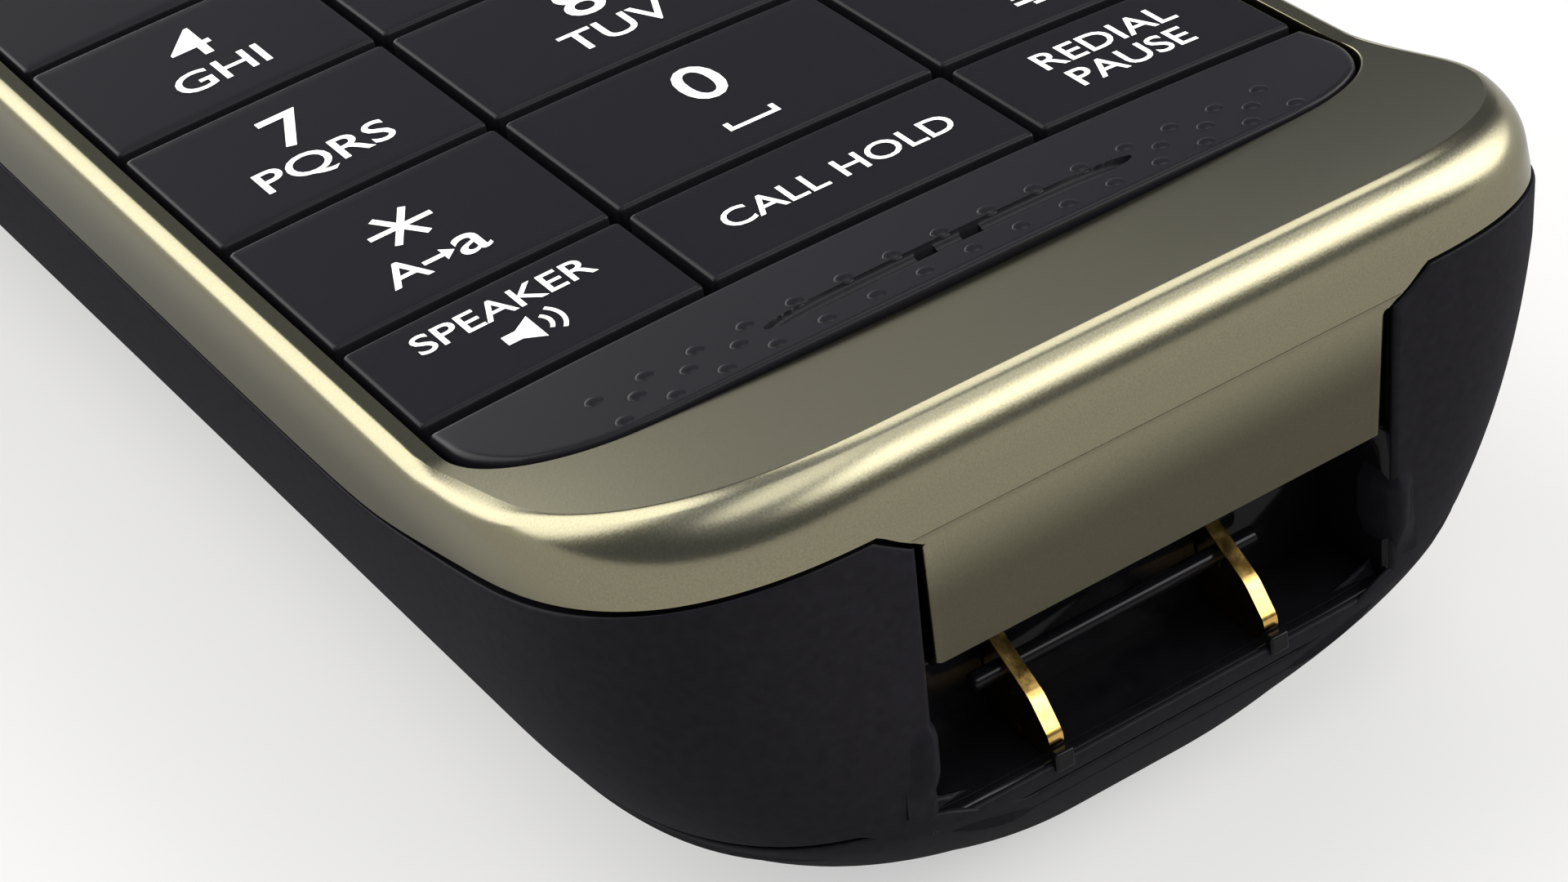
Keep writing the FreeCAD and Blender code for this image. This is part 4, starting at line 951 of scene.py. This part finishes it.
bumps = [(x, y) for y in (-66.6, -69.05) for x in linspace(-16.15, 16.15, 15)] + [
    (s * x, -67.75) for s in (-1, 1) for x in (10.2, 12.5, 14.85)]
piece("panel_bumps", [domes(bumps, 0.42, 0.11)], key_black, "handset")


def display_window():
    """A plate between the frame's opening and a slot for the sound, under the keypad's arch."""
    outer = sides_filled(ring_path(KEY_HALF, WINDOW_HALF, 0.5, 8.0, 24), 0.8)
    outer_x, outer_y, slot_half, slot_radius = outer[:, 0], outer[:, 1] + WINDOW_MIDDLE, 5.3, 1.2
    slot_x = clip(outer_x * 0.3, -slot_half, slot_half)
    at_end = np.abs(slot_x) >= slot_half
    away = where(at_end, np.arctan2(outer_y - SOUND_SLOT, outer_x), pi / 2 * np.sign(outer_y - SOUND_SLOT))
    slot_x, slot_y = slot_x + slot_radius * cos(away) * at_end, SOUND_SLOT + slot_radius * sin(away)
    share, turn = linspace(0, 1, 26)[1:-1, None], quarter(6)[:, None]
    edge = 0.3 * (1 - cos(turn))
    x = join([outer_x[None], outer_x * (1 - edge / KEY_HALF)])
    y = join([outer_y[None], WINDOW_MIDDLE + (outer_y - WINDOW_MIDDLE) * (1 - edge / WINDOW_HALF)])
    x, y = (join([rim, rim[-1:] + (slot - rim[-1:]) * share, slot[None], slot[None]])
            for rim, slot in ((x, slot_x), (y, slot_y)))
    drop = join([[[1.6]], 0.3 * (1 - sin(turn)), 0 * share, [[0.0]], [[1.6]]])
    return surface(x, y, TOP + crown(x) - drop, round_rows=True, round_columns=True)


piece("window_plate", [display_window()], window_black, "handset", ["display_window"])


def inlay(x0, x1, y0, y1, lift, thick):
    """A thin plate laid on the arch."""
    count = 24
    x, y = linspace(x0, x1, count)[None, :], array([y0, y0, y1, y1])[:, None]
    z = TOP + crown(x) + lift - thick * array([1, 0, 0, 1])[:, None]
    spots, faces = surface(x + 0 * y, y + 0 * x, z, round_rows=True)
    end = count * np.arange(4)
    return spots, join([faces, [end, end[::-1] + count - 1]])


piece("display_face", [inlay(-17.0, 17.0, 22.0, 56.0, 0.03, 0.3)], crystal, "handset")


def turned(profile, x, y, count=72):
    """A profile of (radius, height) turned about an upright line."""
    profile = np.asarray(profile, float)
    turn = circle(count)
    return surface(x + profile[:, :1] * cos(turn), y + profile[:, :1] * sin(turn), profile[:, 1:] + 0 * turn,
                   round_columns=True)


def rounded_rim(radius, top, size, sign, steps=7):
    """Quarter round at a rim: outward for a sign of 1."""
    turn = quarter(steps)[::sign]
    return np.stack([radius - sign * size * (1 - cos(turn)), top - size * (1 - sin(turn))], -1)


dish = linspace(9.2, 4.2, 16)[1:-1]
ring_profile = join([[[9.6, RING_LOW]], rounded_rim(9.6, RING_TOP, 0.4, 1),
                     np.column_stack([dish, RING_TOP - DISH_DEPTH * sin((9.2 - dish) / 5.0 * pi)]),
                     rounded_rim(3.8, RING_TOP, 0.3, -1), [[3.8, RING_LOW], [9.6, RING_LOW]]])
piece("ring_cap", [turned(ring_profile, 0, NAV)], key_black, "navigation_ring", ["navigation_ring"])
arrow = array([(0, 0.75), (-0.65, -0.3), (0.65, -0.3)]) + (0, 6.7)
ink("ring_arrows", [shape_flat(*[spun(arrow, 90 * i) + (0, NAV) for i in range(4)])], white_ink, "navigation_ring",
    RING_TOP - DISH_DEPTH + 0.02)
select_top = RING_TOP - 0.1
dome = linspace(3.1, 0, 10)[1:]
select_profile = join([[[0, select_top - 1.0], [3.4, select_top - 1.0]], rounded_rim(3.4, select_top, 0.3, 1),
                       np.column_stack([dome, select_top + 0.1 * (1 - (dome / 3.1) ** 2)])])
piece("select_cap", [turned(select_profile, 0, NAV), plate(-1, 1, NAV - 1, NAV + 1, 19.05, RING_TOP - 1.0)], key_black,
      "select_key", ["select_key"])

low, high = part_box("indicator_lens")
lens = np.stack([low, high], 1) / MM + [(0, 0), (0, 0), (0, 0.2)]   # it stands a little proud of the solid
bevelled(piece("lens_body", [plate(*lens.ravel())], amber, "handset", ["indicator_lens"]), 0.15)


# Floor, light and camera

FLOOR_REACH, FLOOR_DROP = 4.0, 0.0001       # metres
PAPER_GLOW, WALL_LIGHT = 0.55, 4.8          # the paper's share of own light, and the strength of the studio walls
floor_mesh = bpy.data.meshes.new("studio_floor")
floor_mesh.from_pydata([(x * FLOOR_REACH, y * FLOOR_REACH, -FLOOR_DROP)
                        for x, y in ((-1, -1), (1, -1), (1, 1), (-1, 1))], [], [(0, 1, 2, 3)])
# seamless paper: near white, with hardly any sheen; part of it shines by itself to the eye and in reflections,
# so that the background stays pale while the shadow stays on it
paper = finish("white_seamless_paper", "#c4c2bf", "#c7c5c2", 0.85, 30.0, Specular_IOR_Level=0.1)
paper_tree = paper.node_tree
paper_shade = paper_tree.nodes["Principled BSDF"]
seen = add(paper_tree, "ShaderNodeLightPath")
either = seen.outputs["Is Camera Ray"]
for ray in ("Is Glossy Ray", "Is Transmission Ray"):
    either = add(paper_tree, "ShaderNodeMath", {0: either, 1: seen.outputs[ray]}, operation="MAXIMUM").outputs[0]
share = add(paper_tree, "ShaderNodeMath", {0: either, 1: PAPER_GLOW}, operation="MULTIPLY")
glow = add(paper_tree, "ShaderNodeEmission", {"Color": linear("#f7f7f7"), "Strength": 1.0})
mixed = add(paper_tree, "ShaderNodeMixShader", {0: share.outputs[0], 1: paper_shade.outputs[0], 2: glow.outputs[0]})
paper_tree.links.new(mixed.outputs[0], paper_tree.nodes["Material Output"].inputs["Surface"])
floor_mesh.materials.append(paper)
floor_object = placed("studio_floor", floor_mesh)

world = bpy.data.worlds.new("studio")
scene.world = world
world.use_nodes = True
sky = world.node_tree
direction = add(sky, "ShaderNodeTexCoord").outputs["Generated"]


def glow_share(strength, centre, along, across, reach, width, core=0.7, rim=1.25):
    """Strength of a soft-edged oval of light in the studio: full in its core, 0 past its rim."""
    far = [add(sky, "ShaderNodeVectorMath", {0: direction, 1: tuple(array(axis) / size)}, operation="DOT_PRODUCT")
           for axis, size in ((along, reach), (across, width), (centre, 1.0))]
    squares = [add(sky, "ShaderNodeMath", {0: f.outputs["Value"], 1: 2.0}, operation="POWER") for f in far[:2]]
    away = add(sky, "ShaderNodeMath", {0: squares[0].outputs[0], 1: squares[1].outputs[0]})
    edge = add(sky, "ShaderNodeMapRange", {"Value": away.outputs[0], "From Min": rim, "From Max": core,
                                           "To Max": strength}, interpolation_type="SMOOTHSTEP")
    ahead = add(sky, "ShaderNodeMath", {0: far[2].outputs["Value"], 1: 0.0}, operation="GREATER_THAN")
    return add(sky, "ShaderNodeMath", {0: edge.outputs["Result"], 1: ahead.outputs[0]}, operation="MULTIPLY").outputs[0]


# dim bluish room, brighter overhead
lean = add(sky, "ShaderNodeVectorMath", {0: direction, 1: (0.1, -0.25, 0.96)}, operation="DOT_PRODUCT")
level = add(sky, "ShaderNodeMapRange", {"Value": lean.outputs["Value"], "From Min": 0.5, "From Max": 0.9,
                                        "To Min": 0.28, "To Max": 0.85}, interpolation_type="SMOOTHSTEP")
sky.links.new(level.outputs["Result"], sky.nodes["Background"].inputs["Strength"])
sky.nodes["Background"].inputs["Color"].default_value = linear("#e4e9fa")
# a tall wall of light behind on the left that is wider at its foot, a long one on the right that meets a patch of
# ceiling, and a faint one behind
back_left = glow_share(1.0, (-0.539, 0.642, 0.545), (0.350, -0.417, 0.839), (0.766, 0.643, 0.0), 0.68, 0.42)
skirting = glow_share(1.0, (-0.34, 0.93, 0.10), (0.94, 0.342, 0.0), (0.0, -0.1, 0.995), 0.60, 0.20)
right = glow_share(1.5, (0.803, -0.443, 0.40), (0.593, 0.662, -0.459), (-0.062, 0.605, 0.794), 0.85, 0.33, 0.05)
ceiling = glow_share(0.6, (0.0, -0.42, 0.907), (1.0, 0.0, 0.0), (0.0, 0.907, 0.42), 0.55, 0.25, 0.05)
walls = glow_share(0.11, (0.0, 0.99, 0.14), (1.0, 0.0, 0.0), (0.0, -0.14, 0.99), 0.50, 0.24)
for pair in ((back_left, skirting), (right, ceiling)):
    brighter = add(sky, "ShaderNodeMath", {0: pair[0], 1: pair[1]}, operation="MAXIMUM").outputs[0]
    walls = add(sky, "ShaderNodeMath", {0: walls, 1: brighter}).outputs[0]
shine = add(sky, "ShaderNodeMath", {0: walls, 1: WALL_LIGHT}, operation="MULTIPLY")
boxes = add(sky, "ShaderNodeBackground", {"Color": linear("#fffefa"), "Strength": shine.outputs[0]})
both_lights = add(sky, "ShaderNodeAddShader", {0: sky.nodes["Background"].outputs[0], 1: boxes.outputs[0]})
sky.links.new(both_lights.outputs[0], sky.nodes["World Output"].inputs["Surface"])

# one soft box over the foot keeps a shadow on the floor
light = bpy.data.lights.new("overhead_softbox", "AREA")
light.shape, light.size, light.size_y, light.energy = "RECTANGLE", 0.6, 0.4, 3.0
light.color = linear("#fffdf6")[:3]
toward = array((0.45, 0.25, 0.86)) / np.linalg.norm((0.45, 0.25, 0.86))
across = np.cross((0, 0, 1), toward)
across = across / np.linalg.norm(across)
place = Matrix(np.column_stack([across, np.cross(toward, across), toward]).tolist()).to_4x4()
place.translation = toward + (0, -0.06, 0.02)
placed("overhead_softbox", light).matrix_world = place

view = bpy.data.cameras.new("photo_view")
view.lens, view.sensor_width, view.clip_start = 85.0, 36.0, 0.01
camera = placed("photo_view", view)
place = Matrix(((0.8315872, 0.4042561, -0.3808409), (-0.5391320, 0.4228471, -0.7283797),
                (-0.1334145, 0.8110348, 0.5695816))).to_4x4()
place.translation = (-0.06440, -0.17371, 0.10148)
camera.matrix_world = place
scene.camera = camera
scene.view_settings.view_transform = "Standard"
